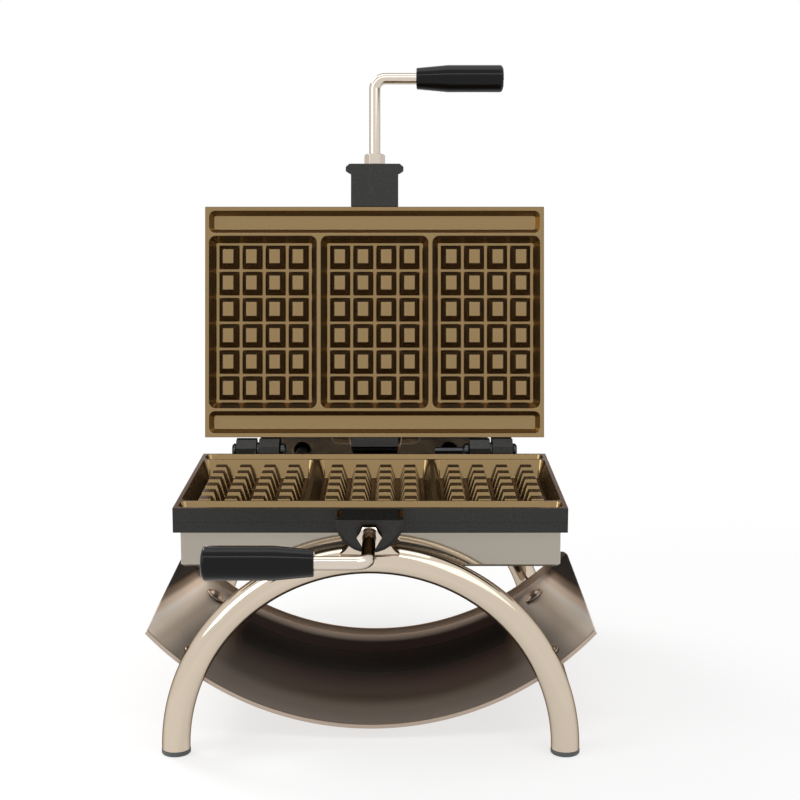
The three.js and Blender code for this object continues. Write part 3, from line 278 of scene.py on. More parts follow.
# The tray's inner face, with painted reflections and highlights in its colour. Its middle is coloured by the share
# of the depth, from the front lip to the rear one: a painted reflection of the dark iron above, lighter at the
# front lip, darkest two thirds of the way back, with a painted highlight at the rear lip. Its ends are coloured
# across a slanted painted highlight streak, by that share plus the slant times the metres from the middle plane.
# The one look turns into the other over the reach of the painted middle, in metres.
TRAY_COLOR = (0.3, 0.24, 0.2)
TRAY_ROUGHNESS = 0.37
TRAY_TONES = 25
TRAY_GLOSS = (0.36, 0.38)
PAINTED_MIDDLE_REACH = (0.115, 0.168)
STREAK_SLANT = 32.0
STREAK_SPAN = (5.076, 6.626)
# Painted reflection of the dark iron above, from the front lip to a painted highlight at the rear lip
PAINTED_REFLECTION_MIDDLE = [
    (0.0, (0.35, 0.305, 0.275)),
    (0.15, (0.28, 0.245, 0.22)),
    (0.3, (0.15, 0.132, 0.118)),
    (0.66, (0.044, 0.037, 0.033)),
    (0.9, (0.066, 0.056, 0.05)),
    (1.0, (0.95, 0.82, 0.72)),
]
# Painted highlight streak across the ends, with painted dark reflection on either side of it
PAINTED_HIGHLIGHT_ENDS = [
    (0.05, (0.34, 0.30, 0.26)),
    (0.345, (0.68, 0.58, 0.49)),
    (0.516, (0.95, 0.86, 0.75)),
    (0.613, (0.95, 0.90, 0.84)),
    (0.71, (0.80, 0.66, 0.55)),
    (0.79, (0.28, 0.22, 0.18)),
    (0.885, (0.14, 0.12, 0.104)),
    (1.0, (0.12, 0.104, 0.09)),
]
# Specular tint of the middle, painted darker where the iron is mirrored
PAINTED_TINT_MIDDLE = [
    (0.0, (0.2, 0.18, 0.16)),
    (0.9, (0.3, 0.26, 0.22)),
]
# Specular tint of the ends, painted bright along the highlight streak and dark beyond it
PAINTED_TINT_ENDS = [
    (0.0, (0.8, 0.75, 0.7)),
    (0.5, (1.0, 0.95, 0.9)),
    (0.62, (1.0, 0.95, 0.9)),
    (0.75, (0.6, 0.54, 0.48)),
    (0.82, (0.38, 0.33, 0.29)),
    (0.9, (0.12, 0.1, 0.09)),
    (1.0, (0.08, 0.07, 0.06)),
]


def painted_reflection_tray():
    """The tray's inner face: a painted reflection of the dark iron above in the middle, and painted highlight
    streaks at the ends.
    """
    low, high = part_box("drip_tray")
    surface = Surface("painted_reflection_tray", TRAY_COLOR, TRAY_ROUGHNESS, metallic=0.5, Specular_IOR_Level=0.0)
    tree = surface.tree
    place = tree.nodes.new("ShaderNodeTexCoord")
    axes = tree.nodes.new("ShaderNodeSeparateXYZ")
    tree.links.new(place.outputs["Object"], axes.inputs["Vector"])
    outward = worked_out(tree, "ABSOLUTE", axes.outputs["X"])
    depth = remapped(tree, axes.outputs["Y"], (low.y, high.y))
    slanted = worked_out(tree, "MULTIPLY_ADD", outward, STREAK_SLANT, depth)
    across = remapped(tree, slanted, STREAK_SPAN)
    share = remapped(tree, outward, PAINTED_MIDDLE_REACH, eased=True)
    # Both the base colour and the specular tint carry the painted reflections and highlights.
    looks = [("Base Color", PAINTED_REFLECTION_MIDDLE, PAINTED_HIGHLIGHT_ENDS), ("Specular Tint", PAINTED_TINT_MIDDLE, PAINTED_TINT_ENDS)]
    for socket, middle_stops, end_stops in looks:
        middle = color_ramp(tree, depth, middle_stops)
        ends = color_ramp(tree, across, end_stops)
        tree.links.new(blended(tree, share, middle, ends), surface.shader.inputs[socket])
    surface.vary_roughness(surface.noise(TRAY_TONES), *TRAY_GLOSS)
    return surface.material


LENS_TONES = 300
LENS_COLOR = (0.55, 0.16, 0.015)
LENS_DARK = (0.48, 0.13, 0.012)
LENS_LIGHT = (0.62, 0.2, 0.02)


def lamp_lens():
    surface = Surface("amber_lens", LENS_COLOR, roughness=0.12, Specular_IOR_Level=0.6)
    surface.vary_color(surface.noise(LENS_TONES), LENS_DARK, LENS_LIGHT)
    return surface.material


# What a metal mirrors at a grazing angle
BROWN_EDGE = (0.18, 0.14, 0.11, 1)
DARK_EDGE = (0.06, 0.05, 0.045, 1)
SOFT_EDGE = (0.12, 0.12, 0.115, 1)
COATED_EDGE = (0.17, 0.165, 0.16, 1)

MATERIALS = {
    "plate_coating": speckled(
        "bronze_coating", (0.308, 0.212, 0.102), roughness=0.17, grain=1500, depth_mm=0.004,
        spread=0.03, metallic=0.84, Specular_Tint=SOFT_EDGE,
    ),
    "black_casting": speckled(
        "black_casting", (0.044, 0.0435, 0.041), roughness=0.42, grain=2400, depth_mm=0.12,
        spread=0.35, metallic=1.0, Specular_Tint=COATED_EDGE,
    ),
    "polished_sheet": brushed(
        "polished_sheet", (0.4, 0.36, 0.305), roughness=0.09, lines=900, stretch=ALONG_X,
        depth_mm=0.002, metallic=0.78,
    ),
    "arch_tube": brushed(
        "polished_tube", (0.63, 0.535, 0.43), roughness=0.09, lines=300, stretch=ALONG_Y,
        depth_mm=0.001, Specular_Tint=BROWN_EDGE,
    ),
    "tray_sheet": brushed(
        "satin_tray", (0.47, 0.38, 0.31), roughness=0.30, lines=300, stretch=ALONG_Y,
        depth_mm=0.0008, Specular_Tint=BROWN_EDGE,
    ),
    "bright_steel": brushed(
        "bright_steel", (0.66, 0.58, 0.5), roughness=0.07, lines=300, stretch=ALONG_X,
        depth_mm=0.001, Specular_Tint=DARK_EDGE,
    ),
    "hinge_steel": brushed(
        "blackened_steel", (0.05, 0.053, 0.056), roughness=0.24, lines=900, stretch=ALONG_X
    ),
    "grip_plastic": speckled(
        "glossy_black", (0.004, 0.0042, 0.0042), roughness=0.12, grain=500, depth_mm=0.001,
        spread=0.1, Specular_IOR_Level=0.18,
    ),
    "foot_rubber": speckled(
        "grey_rubber", (0.114, 0.122, 0.122), roughness=0.62, grain=1500, depth_mm=0.03
    ),
    "element_sheath": speckled(
        "dulled_sheath", (0.10, 0.095, 0.088), roughness=0.5, grain=1200, depth_mm=0.02,
        spread=0.2, metallic=1.0,
    ),
    "retainer_sheet": brushed(
        "zinc_sheet", (0.5, 0.5, 0.48), roughness=0.34, lines=500, stretch=ALONG_X
    ),
    "insulation": speckled(
        "mineral_fibre", (0.7, 0.66, 0.58), roughness=0.95, grain=700, depth_mm=0.5, spread=0.15
    ),
    "probe_brass": brushed(
        "plain_brass", (0.55, 0.38, 0.14), roughness=0.3, lines=800, stretch=ALONG_X
    ),
    "gland_plastic": speckled(
        "black_polyamide", (0.013, 0.013, 0.013), roughness=0.42, grain=1400, depth_mm=0.02
    ),
    "knob_plastic": speckled(
        "black_moulding", (0.016, 0.016, 0.017), roughness=0.38, grain=1400, depth_mm=0.015
    ),
    "lamp_lens": lamp_lens(),
    "porcelain": speckled(
        "glazed_ceramic", (0.78, 0.75, 0.68), roughness=0.3, grain=300, depth_mm=0.01, spread=0.03
    ),
}


def dress_cad_nodes():
    """Every node that stays as it is takes the material of its slot."""
    for name, node in nodes.items():
        node.data.materials.clear()
        node.data.materials.append(MATERIALS[slot_of_node[name]])


# Pieces
def add_object(name, data):
    made = bpy.data.objects.new(name, data)
    bpy.context.scene.collection.objects.link(made)
    return made


def place_piece(name, work, node, materials=None):
    """Makes a mesh object of the bmesh, gives it the node's material and lets it stand for the node."""
    mesh = bpy.data.meshes.new(name)
    work.to_mesh(mesh)
    work.free()
    mesh.shade_smooth()
    mesh.set_sharp_from_angle(angle=SHARP_ANGLE)
    for material in materials or [MATERIALS[slot_of_node[node]]]:
        mesh.materials.append(material)
    piece = add_object(name, mesh)
    flat_faces = piece.modifiers.new("flat_faces", "WEIGHTED_NORMAL")
    flat_faces.keep_sharp = True
    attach(piece, body_of_node[node])
    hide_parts(node)


def welded(node):
    """The node's mesh with its doubled points joined."""
    work = bmesh.new()
    work.from_mesh(nodes[node].data)
    bmesh.ops.remove_doubles(work, verts=work.verts, dist=SAME_POINT)
    return work


def creased_edges(work):
    return [
        edge
        for edge in work.edges
        if len(edge.link_faces) == 2 and edge.calc_face_angle(0) > CREASE_ANGLE
    ]


def rounded_piece(node, form, edge_mm, stays_sharp=None):
    """The node's own shape with its creases rounded, all but those that stay sharp."""
    work = welded(node)
    bmesh.ops.dissolve_limit(
        work, angle_limit=FLAT_ANGLE, verts=work.verts, edges=work.edges, use_dissolve_boundaries=False
    )
    bmesh.ops.bevel(
        work,
        geom=[edge for edge in creased_edges(work) if not (stays_sharp and stays_sharp(edge))],
        offset=edge_mm * MM,
        segments=BEVEL_SEGMENTS,
        profile=BEVEL_ROUND,
        affect="EDGES",
        clamp_overlap=False,
    )
    bmesh.ops.recalc_face_normals(work, faces=work.faces)
    place_piece(f"{node}_{form}", work, node)


def middle_of(work):
    """The mean of the points, which lies on the axis of a turned solid."""
    return sum((v.co for v in work.verts), Vector()) / len(work.verts)


def curved(start, corner, end, share):
    """A point on the curve from start to end that bends towards the corner."""
    return start * (1 - share) ** 2 + corner * 2 * share * (1 - share) + end * share**2


def filleted(points, radius):
    """The outline with an arc at each inner corner."""
    rounded = [points[0]]
    for before, corner, after in zip(points, points[1:], points[2:]):
        corner = Vector(corner)
        back, ahead = Vector(before) - corner, Vector(after) - corner
        turn = math.pi - back.angle(ahead)
        if turn < FLAT_ANGLE:
            continue
        longest = FILLET_LIMIT * min(back.length, ahead.length)
        reach = min(radius * math.tan(turn / 2), longest)
        start = corner + back.normalized() * reach
        end = corner + ahead.normalized() * reach
        shares = [step / FILLET_STEPS for step in range(FILLET_STEPS + 1)]
        rounded += [tuple(curved(start, corner, end, share)) for share in shares]
    rounded.append(points[-1])
    return rounded


def skin(work, rings, slot=0):
    """Walls between rings of as many points each."""
    for lower, upper in zip(rings, rings[1:]):
        for i, point in enumerate(lower):
            j = (i + 1) % len(lower)
            face = work.faces.new((point, lower[j], upper[j], upper[i]))
            face.material_index = slot


def closed_skin(work, rings):
    """A closed body of the rings, with a flat face on the first one and the last."""
    skin(work, rings)
    work.faces.new(rings[0])
    work.faces.new(rings[-1])
    bmesh.ops.recalc_face_normals(work, faces=work.faces)


# Turned pieces
def profile_of(node, axis):
    """The outline that a turned solid was spun from: its origin, and (radius, height) pairs."""
    work = welded(node)
    origin = middle_of(work)
    height = {v: (v.co - origin).dot(axis) for v in work.verts}
    out = {v: (v.co - origin) - axis * height[v] for v in work.verts}
    widest = max(work.verts, key=lambda v: out[v].length)
    spoke = out[widest].normalized()
    line = {
        v
        for v in work.verts
        if out[v].length < SAME_POINT or out[v].normalized().dot(spoke) > math.cos(FLAT_ANGLE)
    }
    here = min((v for v in line if out[v].length < SAME_POINT), key=lambda v: height[v])
    path = [here]
    while True:
        ahead = [
            edge.other_vert(here)
            for edge in here.link_edges
            if edge.other_vert(here) in line and edge.other_vert(here) not in path
        ]
        if not ahead:
            break
        here = ahead[0]
        path.append(here)
    profile = [(out[v].length, height[v]) for v in path]
    work.free()
    return origin, profile


def spun(profile, origin, axis):
    """A closed body turned about the axis from a profile that starts and ends on it."""
    turn = axis.to_track_quat("Z", "X").to_matrix()
    work = bmesh.new()
    rings = []
    for radius, height in profile:
        count = 1 if radius < SAME_POINT else ROUND_SIDES
        ring = []
        for i in range(count):
            angle = math.tau * i / ROUND_SIDES
            local = Vector((radius * math.cos(angle), radius * math.sin(angle), height))
            ring.append(work.verts.new(origin + turn @ local))
        rings.append(ring)
    for lower, upper in zip(rings, rings[1:]):
        for i in range(ROUND_SIDES):
            around = [lower[i % len(lower)], lower[(i + 1) % len(lower)]]
            around += [upper[(i + 1) % len(upper)], upper[i % len(upper)]]
            corners = list(dict.fromkeys(around))
            if len(corners) > 2:
                work.faces.new(corners)
    bmesh.ops.recalc_face_normals(work, faces=work.faces)
    return work


def turned_piece(node, axis, fillet_mm, materials=None, width_share=1.0):
    """The node's own turned shape, rounder, with filleted corners and its width times the share."""
    axis = axis.normalized()
    origin, profile = profile_of(node, axis)
    profile = [(radius * width_share, height) for radius, height in profile]
    work = spun(filleted(profile, fillet_mm * MM), origin, axis)
    place_piece(f"{node}_turned", work, node, materials)


# Tubes and rods
def swept(path, radius):
    """A round bar along a path of (point, direction) pairs that lie in one plane, with flat ends."""
    normal = path[0][1].cross(path[-1][1])
    if normal.length < math.sin(FLAT_ANGLE):
        # The two ends are parallel, as on an arch, which stands square to the depth.
        normal = BACK
    normal = normal.normalized()
    work = bmesh.new()
    rings = []
    for point, direction in path:
        across = normal.cross(direction).normalized()
        ring = []
        for i in range(TUBE_SIDES):
            angle = math.tau * i / TUBE_SIDES
            spoke = across * math.cos(angle) + normal * math.sin(angle)
            ring.append(work.verts.new(point + spoke * radius))
        rings.append(ring)
    closed_skin(work, rings)
    return work


def build_arch(node):
    """A half circle of tube standing on its two ends."""
    low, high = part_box(node)
    radius = (high.y - low.y) / 2
    bow = high.x - radius
    foot = Vector((0, low.y + radius, low.z))
    path = []
    for step in range(ARCH_STEPS + 1):
        angle = math.pi * step / ARCH_STEPS
        along = Vector((math.cos(angle), 0, math.sin(angle)))
        heading = Vector((-math.sin(angle), 0, math.cos(angle)))
        path.append((foot + along * bow, heading))
    place_piece(f"{node}_tube", swept(path, radius), node)


ROD_BEND = 10 * MM


def build_handle_rod(half, carry):
    """A rod out of the front journal, bent a quarter turn towards the grip."""
    low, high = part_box("lower_handle_rod")
    radius = (high.z - low.z) / 2
    height = (high.z + low.z) / 2
    front = low.y + radius
    center = Vector((-ROD_BEND, front + ROD_BEND, height))
    path = [(Vector((0, high.y, height)), -BACK)]
    for step in range(BEND_STEPS + 1):
        angle = math.pi / 2 * step / BEND_STEPS
        point = center + Vector((math.cos(angle), -math.sin(angle), 0)) * ROD_BEND
        path.append((point, Vector((-math.sin(angle), -math.cos(angle), 0))))
    path.append((Vector((low.x, front, height)), -RIGHT))
    work = swept(path, radius)
    work.transform(carry)
    place_piece(f"{half}_handle_rod_bent", work, f"{half}_handle_rod")


# Bearing saddles on the arches, in millimetres from the turning axis
SADDLE_INNER = 22.5
SADDLE_OUTER = 26.1
SADDLE_OPENING = {"front": math.radians(88), "rear": math.radians(70)}
FLARE_START = math.radians(36)
FLARE_BEND = (17.5, -28.2)
FLARE_TIP = 23.5
FLARE_STEPS = 8
BAND_STEPS = 24
SEAT_STEPS = 12
SADDLE_STATIONS = 13


def arc_points(radius, start, end, steps):
    """Points on a circle round the axis, with angles counted from straight down."""
    angles = [start + (end - start) * step / steps for step in range(steps + 1)]
    return [(radius * math.sin(angle), -radius * math.cos(angle)) for angle in angles]


def saddle_section(opening, bottom):
    """A band open upwards, on a flared foot whose underside follows bottom(x)."""
    places = [FLARE_TIP * (1 - 2 * step / SEAT_STEPS) for step in range(SEAT_STEPS + 1)]
    foot = [(x, bottom(x)) for x in places]
    side = arc_points(SADDLE_OUTER, opening, FLARE_START, BAND_STEPS)
    start, end = Vector(side[-1]), Vector(foot[0])
    bend = Vector(FLARE_BEND)
    side += [tuple(curved(start, bend, end, step / FLARE_STEPS)) for step in range(1, FLARE_STEPS)]
    mirrored = [(-x, z) for x, z in reversed(side)]
    return side + foot + mirrored + arc_points(SADDLE_INNER, -opening, opening, 2 * BAND_STEPS)


def tube_top(low, high, y, least):
    """A function of x: how high the arch's tube reaches there at y, but never below the least height."""
    tube = (high.y - low.y) / 2
    middle = (high.y + low.y) / 2
    swell = math.sqrt(max(tube**2 - (y - middle) ** 2, 0))
    reach = high.x - tube + swell

    def height(x):
        crown = low.z + math.sqrt(reach**2 - (x * MM) ** 2) - TURN_AXIS.z
        return max(crown / MM, least)

    return height


def build_saddle(end):
    node = f"{end}_saddle"
    low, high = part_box(node)
    arch_low, arch_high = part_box(f"{end}_arch")
    least = (low.z - TURN_AXIS.z) / MM
    work = bmesh.new()
    rings = []
    for station in range(SADDLE_STATIONS):
        y = low.y + (high.y - low.y) * station / (SADDLE_STATIONS - 1)
        section = saddle_section(SADDLE_OPENING[end], tube_top(arch_low, arch_high, y, least))
        rings.append([work.verts.new((x * MM, y, TURN_AXIS.z + z * MM)) for x, z in section])
    closed_skin(work, rings)
    place_piece(f"{node}_seat", work, node)


# Drip tray
TRAY_STEPS = 160
# The sections stand closer together towards the ends, where the lips are rounded.
TRAY_END_CROWDING = 1.4
TRAY_SHEET = 1.5 * MM
TRAY_FRONT_LIP = 2 * MM
TRAY_REAR_LIP = 6.75 * MM
TRAY_LEAST_LIP = 1 * MM
TRAY_LIP_CORNER = 6 * MM
TRAY_BEND = 1 * MM


def tray_center():
    """The line that the tray's sheet curves about, and the outer radius."""
    low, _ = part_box("drip_tray")
    tip = max((v.co for v in nodes["drip_tray"].data.vertices), key=lambda place: place.x)
    rise = tip.z - low.z
    radius = (tip.x**2 + rise**2) / (2 * rise)
    return Vector((0, 0, low.z + radius)), radius


def lip_height(lip, distance_from_end, corner):
    """The lip is full height except in the rounded corner at its end."""
    if distance_from_end >= corner:
        return lip
    missing = corner - distance_from_end
    return lip - (corner - math.sqrt(max(corner**2 - missing**2, 0)))


def tray_outline(front, rear, front_lip, rear_lip):
    """A closed section of the sheet as (y, height above the outer face), with rounded bends."""
    outer = [(front, front_lip), (front, 0), (rear, 0), (rear, rear_lip)]
    inner = [
        (rear - TRAY_SHEET, rear_lip),
        (rear - TRAY_SHEET, TRAY_SHEET),
        (front + TRAY_SHEET, TRAY_SHEET),
        (front + TRAY_SHEET, front_lip),
    ]
    return filleted(outer, TRAY_BEND) + filleted(inner, TRAY_BEND - TRAY_SHEET / 2)


def in_tray(face, center, radius, low, high):
    """Whether a face is part of the tray's hollow side between its lips."""
    place = face.calc_center_median()
    if not low.y + TRAY_SHEET < place.y < high.y - TRAY_SHEET:
        return False
    return math.hypot(place.x, place.z - center.z) < radius - TRAY_SHEET / 2


def build_tray():
    low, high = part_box("drip_tray")
    center, radius = tray_center()
    reach = math.asin((high.x - low.x) / 2 / radius)
    work = bmesh.new()
    rings = []
    for step in range(TRAY_STEPS + 1):
        share = 2 * step / TRAY_STEPS - 1
        angle = reach * math.copysign(1 - (1 - abs(share)) ** TRAY_END_CROWDING, share)
        from_end = (reach - abs(angle)) * radius
        rear_lip = TRAY_SHEET + max(lip_height(TRAY_REAR_LIP, from_end, TRAY_LIP_CORNER), TRAY_LEAST_LIP)
        section = tray_outline(low.y, high.y, TRAY_SHEET + TRAY_FRONT_LIP, rear_lip)
        ring = []
        for y, height in section:
            r = radius - height
            ring.append(work.verts.new(Vector((r * math.sin(angle), y, center.z - r * math.cos(angle)))))
        rings.append(ring)
    closed_skin(work, rings)
    # The hollow inner face takes the material with painted reflections and highlights, the rest plain satin.
    for face in work.faces:
        face.material_index = 1 if in_tray(face, center, radius, low, high) else 0
    place_piece("drip_tray_sheet", work, "drip_tray", [MATERIALS["tray_sheet"], painted_reflection_tray()])


def build_tray_bolts():
    center, _ = tray_center()
    for end in ("front", "rear"):
        for side in ("left", "right"):
            node = f"{end}_{side}_tray_bolt"
            middle = middle_of(welded(node))
            axis = Vector((center.x - middle.x, 0, center.z - middle.z))
            turned_piece(node, axis, TRAY_BOLT_FILLET, [MATERIALS["tray_sheet"]])


# Grid plate, in millimetres as the lower half lies, with depths counted down from the parting plane
WAFFLES = 3
WAFFLE_SIZE = (101.1, 161.7)
WAFFLE_PITCH = 104.6
WAFFLE_DEPTH = 16.0
WAFFLE_DRAFT = 5.4
WAFFLE_CORNER = 6.5
BLOCK_COLUMNS = 4
BLOCK_ROWS = 6
BLOCK_PITCH = (21.8, 24.7)
BLOCK_BASE = (18.7, 22.0)
BLOCK_TOP_DEPTH = 2.0
BLOCK_DRAFT = 4.5
BLOCK_CORNER_STEPS = 2
CHANNELS = 2
CHANNEL_WIDTH = 20.8
CHANNEL_DEPTH = 9.5
CHANNEL_DRAFT = 4.0
CHANNEL_CORNER = 5.6
END_RIM = 3.7
FACE_DEPTH = 0.15
RIM_FOOT = 11.7
BODY_SIZE = (308.5, 159.9)
BODY_DEPTH = 19.0
BODY_DRAFT = 1.5
STUDS = 2
STUD_HOLE = 3.3
STUD_HOLE_DEPTH = 16.3
CAST_EDGE = 0.3
CAST_ROOT = 0.7
CORNER_STEPS = 6
# How far a wall's outline runs on over the flats beside it, so that its ends can be filleted
RUN_OUT = 1


def rounded_ring(work, center, size, corner, depth, steps=CORNER_STEPS):
    """Points round a rectangle with round corners, as many for one size as for another."""
    ring = []
    for quarter, (side_x, side_y) in enumerate(((1, 1), (-1, 1), (-1, -1), (1, -1))):
        for step in range(steps + 1):
            angle = math.pi / 2 * (quarter + step / steps)
            x = center[0] + side_x * (size[0] / 2 - corner) + corner * math.cos(angle)
            y = center[1] + side_y * (size[1] / 2 - corner) + corner * math.sin(angle)
            ring.append(work.verts.new((x * MM, y * MM, TURN_AXIS.z - depth * MM)))
    return ring


def fill_between(work, rings):
    """A flat face inside the first ring and outside the others."""
    edges = []
    for ring in rings:
        for i, point in enumerate(ring):
            following = ring[(i + 1) % len(ring)]
            edges.append(work.edges.get((point, following)) or work.edges.new((point, following)))
    bmesh.ops.triangle_fill(work, edges=edges, use_beauty=True)


def tapered_rings(work, center, size, corner, profile):
    """One ring for each (inset, depth) of the profile."""
    rings = []
    for inset, depth in profile:
        inner = (size[0] - 2 * inset, size[1] - 2 * inset)
        rings.append(rounded_ring(work, center, inner, max(corner - inset, CAST_EDGE), depth))
    return rings


def sloping_profile(draft, top, bottom):
    """A wall as (inset, depth), with a small edge at the top and a round root at the bottom."""
    line = [(-RUN_OUT, top), (0, top), (draft, bottom), (draft + RUN_OUT, bottom)]
    edge = filleted(line[:3], CAST_EDGE)
    root = filleted(line[1:], CAST_ROOT)
    return edge[1:-1] + root[1:-1]


def hollow_rings(work, center, size, corner, draft, depth):
    """The sloping walls of a hollow, as rings from its mouth to the edge of its floor."""
    rings = tapered_rings(work, center, size, corner, sloping_profile(draft, FACE_DEPTH, depth))
    skin(work, rings)
    return rings


def block_rings(work, center):
    """A block that narrows upwards, with its top; gives back its foot."""
    top_size = tuple(base - 2 * BLOCK_DRAFT for base in BLOCK_BASE)
    rings = []
    for outset, depth in sloping_profile(BLOCK_DRAFT, BLOCK_TOP_DEPTH, WAFFLE_DEPTH):
        size = (top_size[0] + 2 * outset, top_size[1] + 2 * outset)
        rings.append(rounded_ring(work, center, size, CAST_EDGE, depth, BLOCK_CORNER_STEPS))
    skin(work, rings)
    work.faces.new(rings[0])
    return rings[-1]


def spread(count, pitch):
    """Places along a line, even about zero."""
    return [(i - (count - 1) / 2) * pitch for i in range(count)]


def build_waffle_well(work, center):
    """One waffle shape: sloping walls and a floor full of blocks; gives back its mouth."""
    rings = hollow_rings(work, center, WAFFLE_SIZE, WAFFLE_CORNER, WAFFLE_DRAFT, WAFFLE_DEPTH)
    feet = [
        block_rings(work, (center[0] + x, center[1] + y))
        for x in spread(BLOCK_COLUMNS, BLOCK_PITCH[0])
        for y in spread(BLOCK_ROWS, BLOCK_PITCH[1])
    ]
    fill_between(work, [rings[-1], *feet])
    return rings[0]


def build_channel(work, center, size):
    """An overflow channel along one edge of the plate; gives back its mouth."""
    rings = hollow_rings(work, center, size, CHANNEL_CORNER, CHANNEL_DRAFT, CHANNEL_DEPTH)
    work.faces.new(rings[-1])
    return rings[0]


def build_plate_underside(work, center, foot):
    """The hidden side: the body of the wells below the rim, with blind holes for the studs."""
    mouth = rounded_ring(work, center, BODY_SIZE, WAFFLE_CORNER, RIM_FOOT)
    base_size = (BODY_SIZE[0] - 2 * BODY_DRAFT, BODY_SIZE[1] - 2 * BODY_DRAFT)
    base = rounded_ring(work, center, base_size, WAFFLE_CORNER, BODY_DEPTH)
    fill_between(work, [foot, mouth])
    skin(work, [mouth, base])
    hole_size = (2 * STUD_HOLE, 2 * STUD_HOLE)
    holes = []
    for x in spread(STUDS, WAFFLE_PITCH):
        place = (center[0] + x, center[1])
        depths = (BODY_DEPTH, STUD_HOLE_DEPTH)
        rings = [rounded_ring(work, place, hole_size, STUD_HOLE, depth) for depth in depths]
        skin(work, rings)
        work.faces.new(rings[-1])
        holes.append(rings[0])
    fill_between(work, [base, *holes])


def build_grid_plate(half, carry):
    """Bronze on the cooking side, black on the outer sides that the frame's coating covers."""
    low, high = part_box("lower_grid_plate")
    size = ((high.x - low.x) / MM, (high.y - low.y) / MM)
    center = ((high.x + low.x) / 2 / MM, (high.y + low.y) / 2 / MM)
    work = bmesh.new()
    edge = filleted([(RUN_OUT, FACE_DEPTH), (0, FACE_DEPTH), (0, RIM_FOOT)], CAST_EDGE)[1:]
    sides = tapered_rings(work, center, size, CAST_EDGE, edge)
    skin(work, sides, slot=1)
    mouths = [build_waffle_well(work, (center[0] + x, center[1])) for x in spread(WAFFLES, WAFFLE_PITCH)]
    channel_size = (size[0] - 2 * END_RIM, CHANNEL_WIDTH)
    for y in spread(CHANNELS, size[1] - 2 * END_RIM - CHANNEL_WIDTH):
        mouths.append(build_channel(work, (center[0], center[1] + y), channel_size))
    fill_between(work, [sides[0], *mouths])
    build_plate_underside(work, center, sides[-1])
    bmesh.ops.recalc_face_normals(work, faces=work.faces)
    work.transform(carry)
    node = f"{half}_grid_plate"
    materials = [MATERIALS["plate_coating"], MATERIALS["black_casting"]]
    place_piece(f"{node}_casting", work, node, materials)


# Iron
FRAME_TOP_DEPTH = 11.8

# The round grip would stand just above the flats of the node's many-sided one.
GRIP_SHARE = 0.984


def seam_edge(carry):
    """A test for the frame's edges at the joint with the grid plate, which are drawn as one line."""
    back = carry.inverted()
    seam = TURN_AXIS.z - FRAME_TOP_DEPTH * MM

    def is_seam(edge):
        return all(abs((back @ vertex.co).z - seam) < SAME_PLANE for vertex in edge.verts)

    return is_seam


def build_iron():
    for half, carry in HALVES:
        turn = carry.to_3x3()
        build_grid_plate(half, carry)
        rounded_piece(f"{half}_frame", "casting", FRAME_EDGE, stays_sharp=seam_edge(carry))
        rounded_piece(f"{half}_housing", "sheet", HOUSING_EDGE)
        rounded_piece(f"{half}_handle_nut", "hexagon", NUT_EDGE)
        build_handle_rod(half, carry)
        turned_piece(f"{half}_grip", turn @ RIGHT, GRIP_FILLET, width_share=GRIP_SHARE)
        for side in ("left", "right"):
            turned_piece(f"{half}_stud_{side}", turn @ UP, STUD_FILLET)
    for side in ("left", "right"):
        turned_piece(f"{side}_hinge_pin", RIGHT, HINGE_PIN_FILLET)
        rounded_piece(f"{side}_hinge_washer", "ring", WASHER_EDGE)


def build_stand():
    for end in ("front", "rear"):
        build_arch(f"{end}_arch")
        build_saddle(end)
        for side in ("left", "right"):
            turned_piece(f"{end}_{side}_foot_cap", UP, FOOT_CAP_FILLET)
    for side in ("left", "right"):
        rounded_piece(f"{side}_stretcher", "rod", STRETCHER_EDGE)
        turned_piece(f"{side}_bearing_bolt", BACK, BEARING_BOLT_FILLET)
    rounded_piece("rear_bearing", "collar", BEARING_EDGE)
    build_tray()
    build_tray_bolts()


# Controls
GLAND_SHARE = 0.66


def build_cable_gland(node, axis):
    """A slimmer gland than the node's, on the lower edge of its box, as the photograph shows it."""
    origin, profile = profile_of(node, axis)
    widest = max(radius for radius, _ in profile)
    slim = [(radius * GLAND_SHARE, height) for radius, height in profile]
    origin.z -= widest * (1 - GLAND_SHARE)
    place_piece(f"{node}_dome", spun(filleted(slim, CABLE_GLAND_FILLET * MM), origin, axis), node)


def build_controls():
    for node in ("control_box", "control_box_cover", "left_box_bracket", "right_box_bracket"):
        rounded_piece(node, "sheet", BOX_EDGE)
    for side in ("left", "right"):
        build_cable_gland(f"{side}_cable_gland", BACK)
    turned_piece("cord_gland", UP, CORD_GLAND_FILLET)
    turned_piece("pilot_lamp", RIGHT, PILOT_LAMP_FILLET)
    for node in ("thermostat_knob", "switch_body", "power_rocker"):
        rounded_piece(node, "moulding", MOULDING_EDGE)


# Studio
def grey(level):
    return (level, level, level, 1)


def light_path_share(tree):
    """1 for rays from the camera, off gloss and through glass, and 0 for those that light the object."""
    path = tree.nodes.new("ShaderNodeLightPath")
    seen = worked_out(tree, "MAXIMUM", path.outputs["Is Camera Ray"], path.outputs["Is Glossy Ray"])
    return worked_out(tree, "MAXIMUM", seen, path.outputs["Is Transmission Ray"])


def mixed_shader(tree, share, first, second):
    """The first shader where the share is 0, and the second one where it is 1."""
    mix = tree.nodes.new("ShaderNodeMixShader")
    tree.links.new(share, mix.inputs["Fac"])
    tree.links.new(first, mix.inputs[1])
    tree.links.new(second, mix.inputs[2])
    return mix.outputs["Shader"]


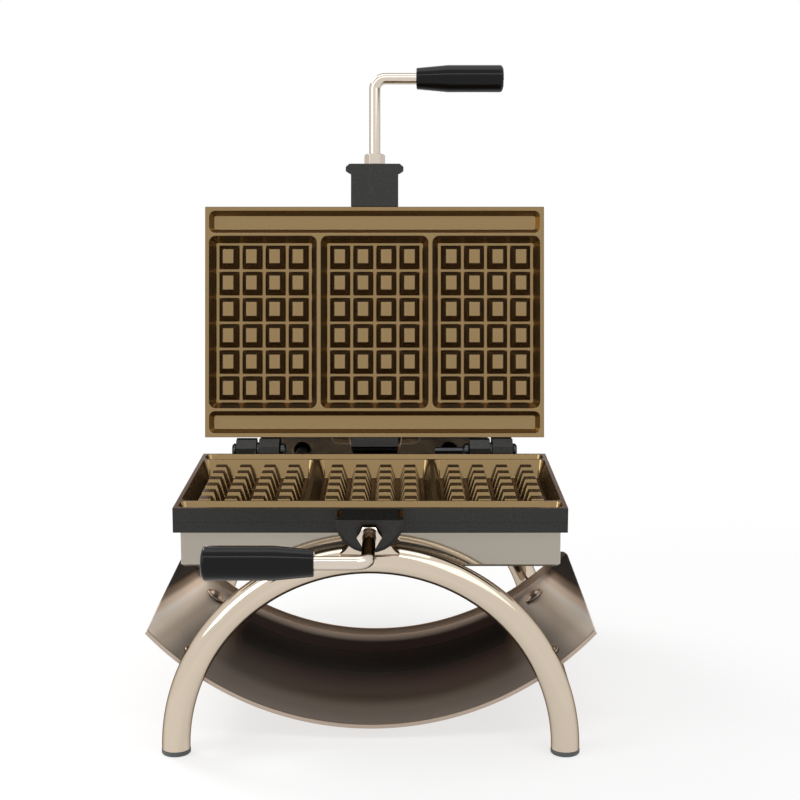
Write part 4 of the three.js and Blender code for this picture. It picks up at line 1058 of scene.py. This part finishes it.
def build_world():
    world = bpy.data.worlds.new("studio")
    bpy.context.scene.world = world
    world.use_nodes = True
    tree = world.node_tree
    shown = tree.nodes["Background"]
    lighting = tree.nodes.new("ShaderNodeBackground")
    for background, strength in ((shown, BACKGROUND_LIGHT), (lighting, WORLD_LIGHT)):
        background.inputs["Color"].default_value = grey(1)
        background.inputs["Strength"].default_value = strength
    sky = mixed_shader(
        tree, light_path_share(tree), lighting.outputs["Background"], shown.outputs["Background"]
    )
    tree.links.new(sky, tree.nodes["World Output"].inputs["Surface"])


def distance_share(tree, reach):
    """0 up to the first distance from the middle of the floor, and 1 from the second one on."""
    place = tree.nodes.new("ShaderNodeTexCoord")
    length = tree.nodes.new("ShaderNodeVectorMath")
    length.operation = "LENGTH"
    tree.links.new(place.outputs["Object"], length.inputs[0])
    return remapped(tree, length.outputs["Value"], reach, eased=True)


def diffuse(tree, level):
    shader = tree.nodes.new("ShaderNodeBsdfDiffuse")
    shader.inputs["Color"].default_value = grey(level)
    return shader.outputs["BSDF"]


def emission(tree, strength):
    shader = tree.nodes.new("ShaderNodeEmission")
    shader.inputs["Strength"].default_value = strength
    return shader.outputs["Emission"]


def floor_material():
    """White to the camera, with the object's shadow near the middle, and plainly pale to other rays."""
    material = bpy.data.materials.new("pale_floor")
    material.use_nodes = True
    tree = material.node_tree
    tree.nodes.remove(tree.nodes["Principled BSDF"])
    near = tree.nodes.new("ShaderNodeAddShader")
    tree.links.new(emission(tree, FLOOR_GLOW), near.inputs[0])
    tree.links.new(diffuse(tree, FLOOR_SHADE), near.inputs[1])
    far = emission(tree, BACKGROUND_LIGHT)
    seen = mixed_shader(tree, distance_share(tree, SHADOW_REACH), near.outputs["Shader"], far)
    surface = mixed_shader(tree, light_path_share(tree), diffuse(tree, FLOOR_ALBEDO), seen)
    tree.links.new(surface, tree.nodes["Material Output"].inputs["Surface"])
    return material


def build_floor():
    work = bmesh.new()
    bmesh.ops.create_grid(work, x_segments=2, y_segments=2, size=FLOOR_HALF)
    mesh = bpy.data.meshes.new("floor")
    work.to_mesh(mesh)
    work.free()
    mesh.materials.append(floor_material())
    add_object("floor", mesh)


def build_softbox(name, place, size, watts):
    light = bpy.data.lights.new(name, "AREA")
    light.shape = "RECTANGLE"
    light.size, light.size_y = size
    light.energy = watts
    lamp = add_object(name, light)
    lamp.location = place
    lamp.rotation_mode = "QUATERNION"
    lamp.rotation_quaternion = (LAMP_TARGET - Vector(place)).to_track_quat("-Z", "Y")
    lamp.visible_camera = False


def build_studio():
    build_world()
    build_floor()
    for softbox in SOFTBOXES:
        build_softbox(*softbox)


def build_camera():
    data = bpy.data.cameras.new("camera")
    data.lens = LENS_MM
    data.sensor_width = SENSOR_MM
    camera = add_object("camera", data)
    camera.location = CAMERA_PLACE
    camera.rotation_euler = (math.pi / 2 - CAMERA_PITCH, 0, 0)
    bpy.context.scene.camera = camera


build_camera()
dress_cad_nodes()
build_iron()
build_stand()
build_controls()
build_studio()
bpy.context.scene.view_settings.view_transform = "Standard"

bpy.context.view_layer.update()
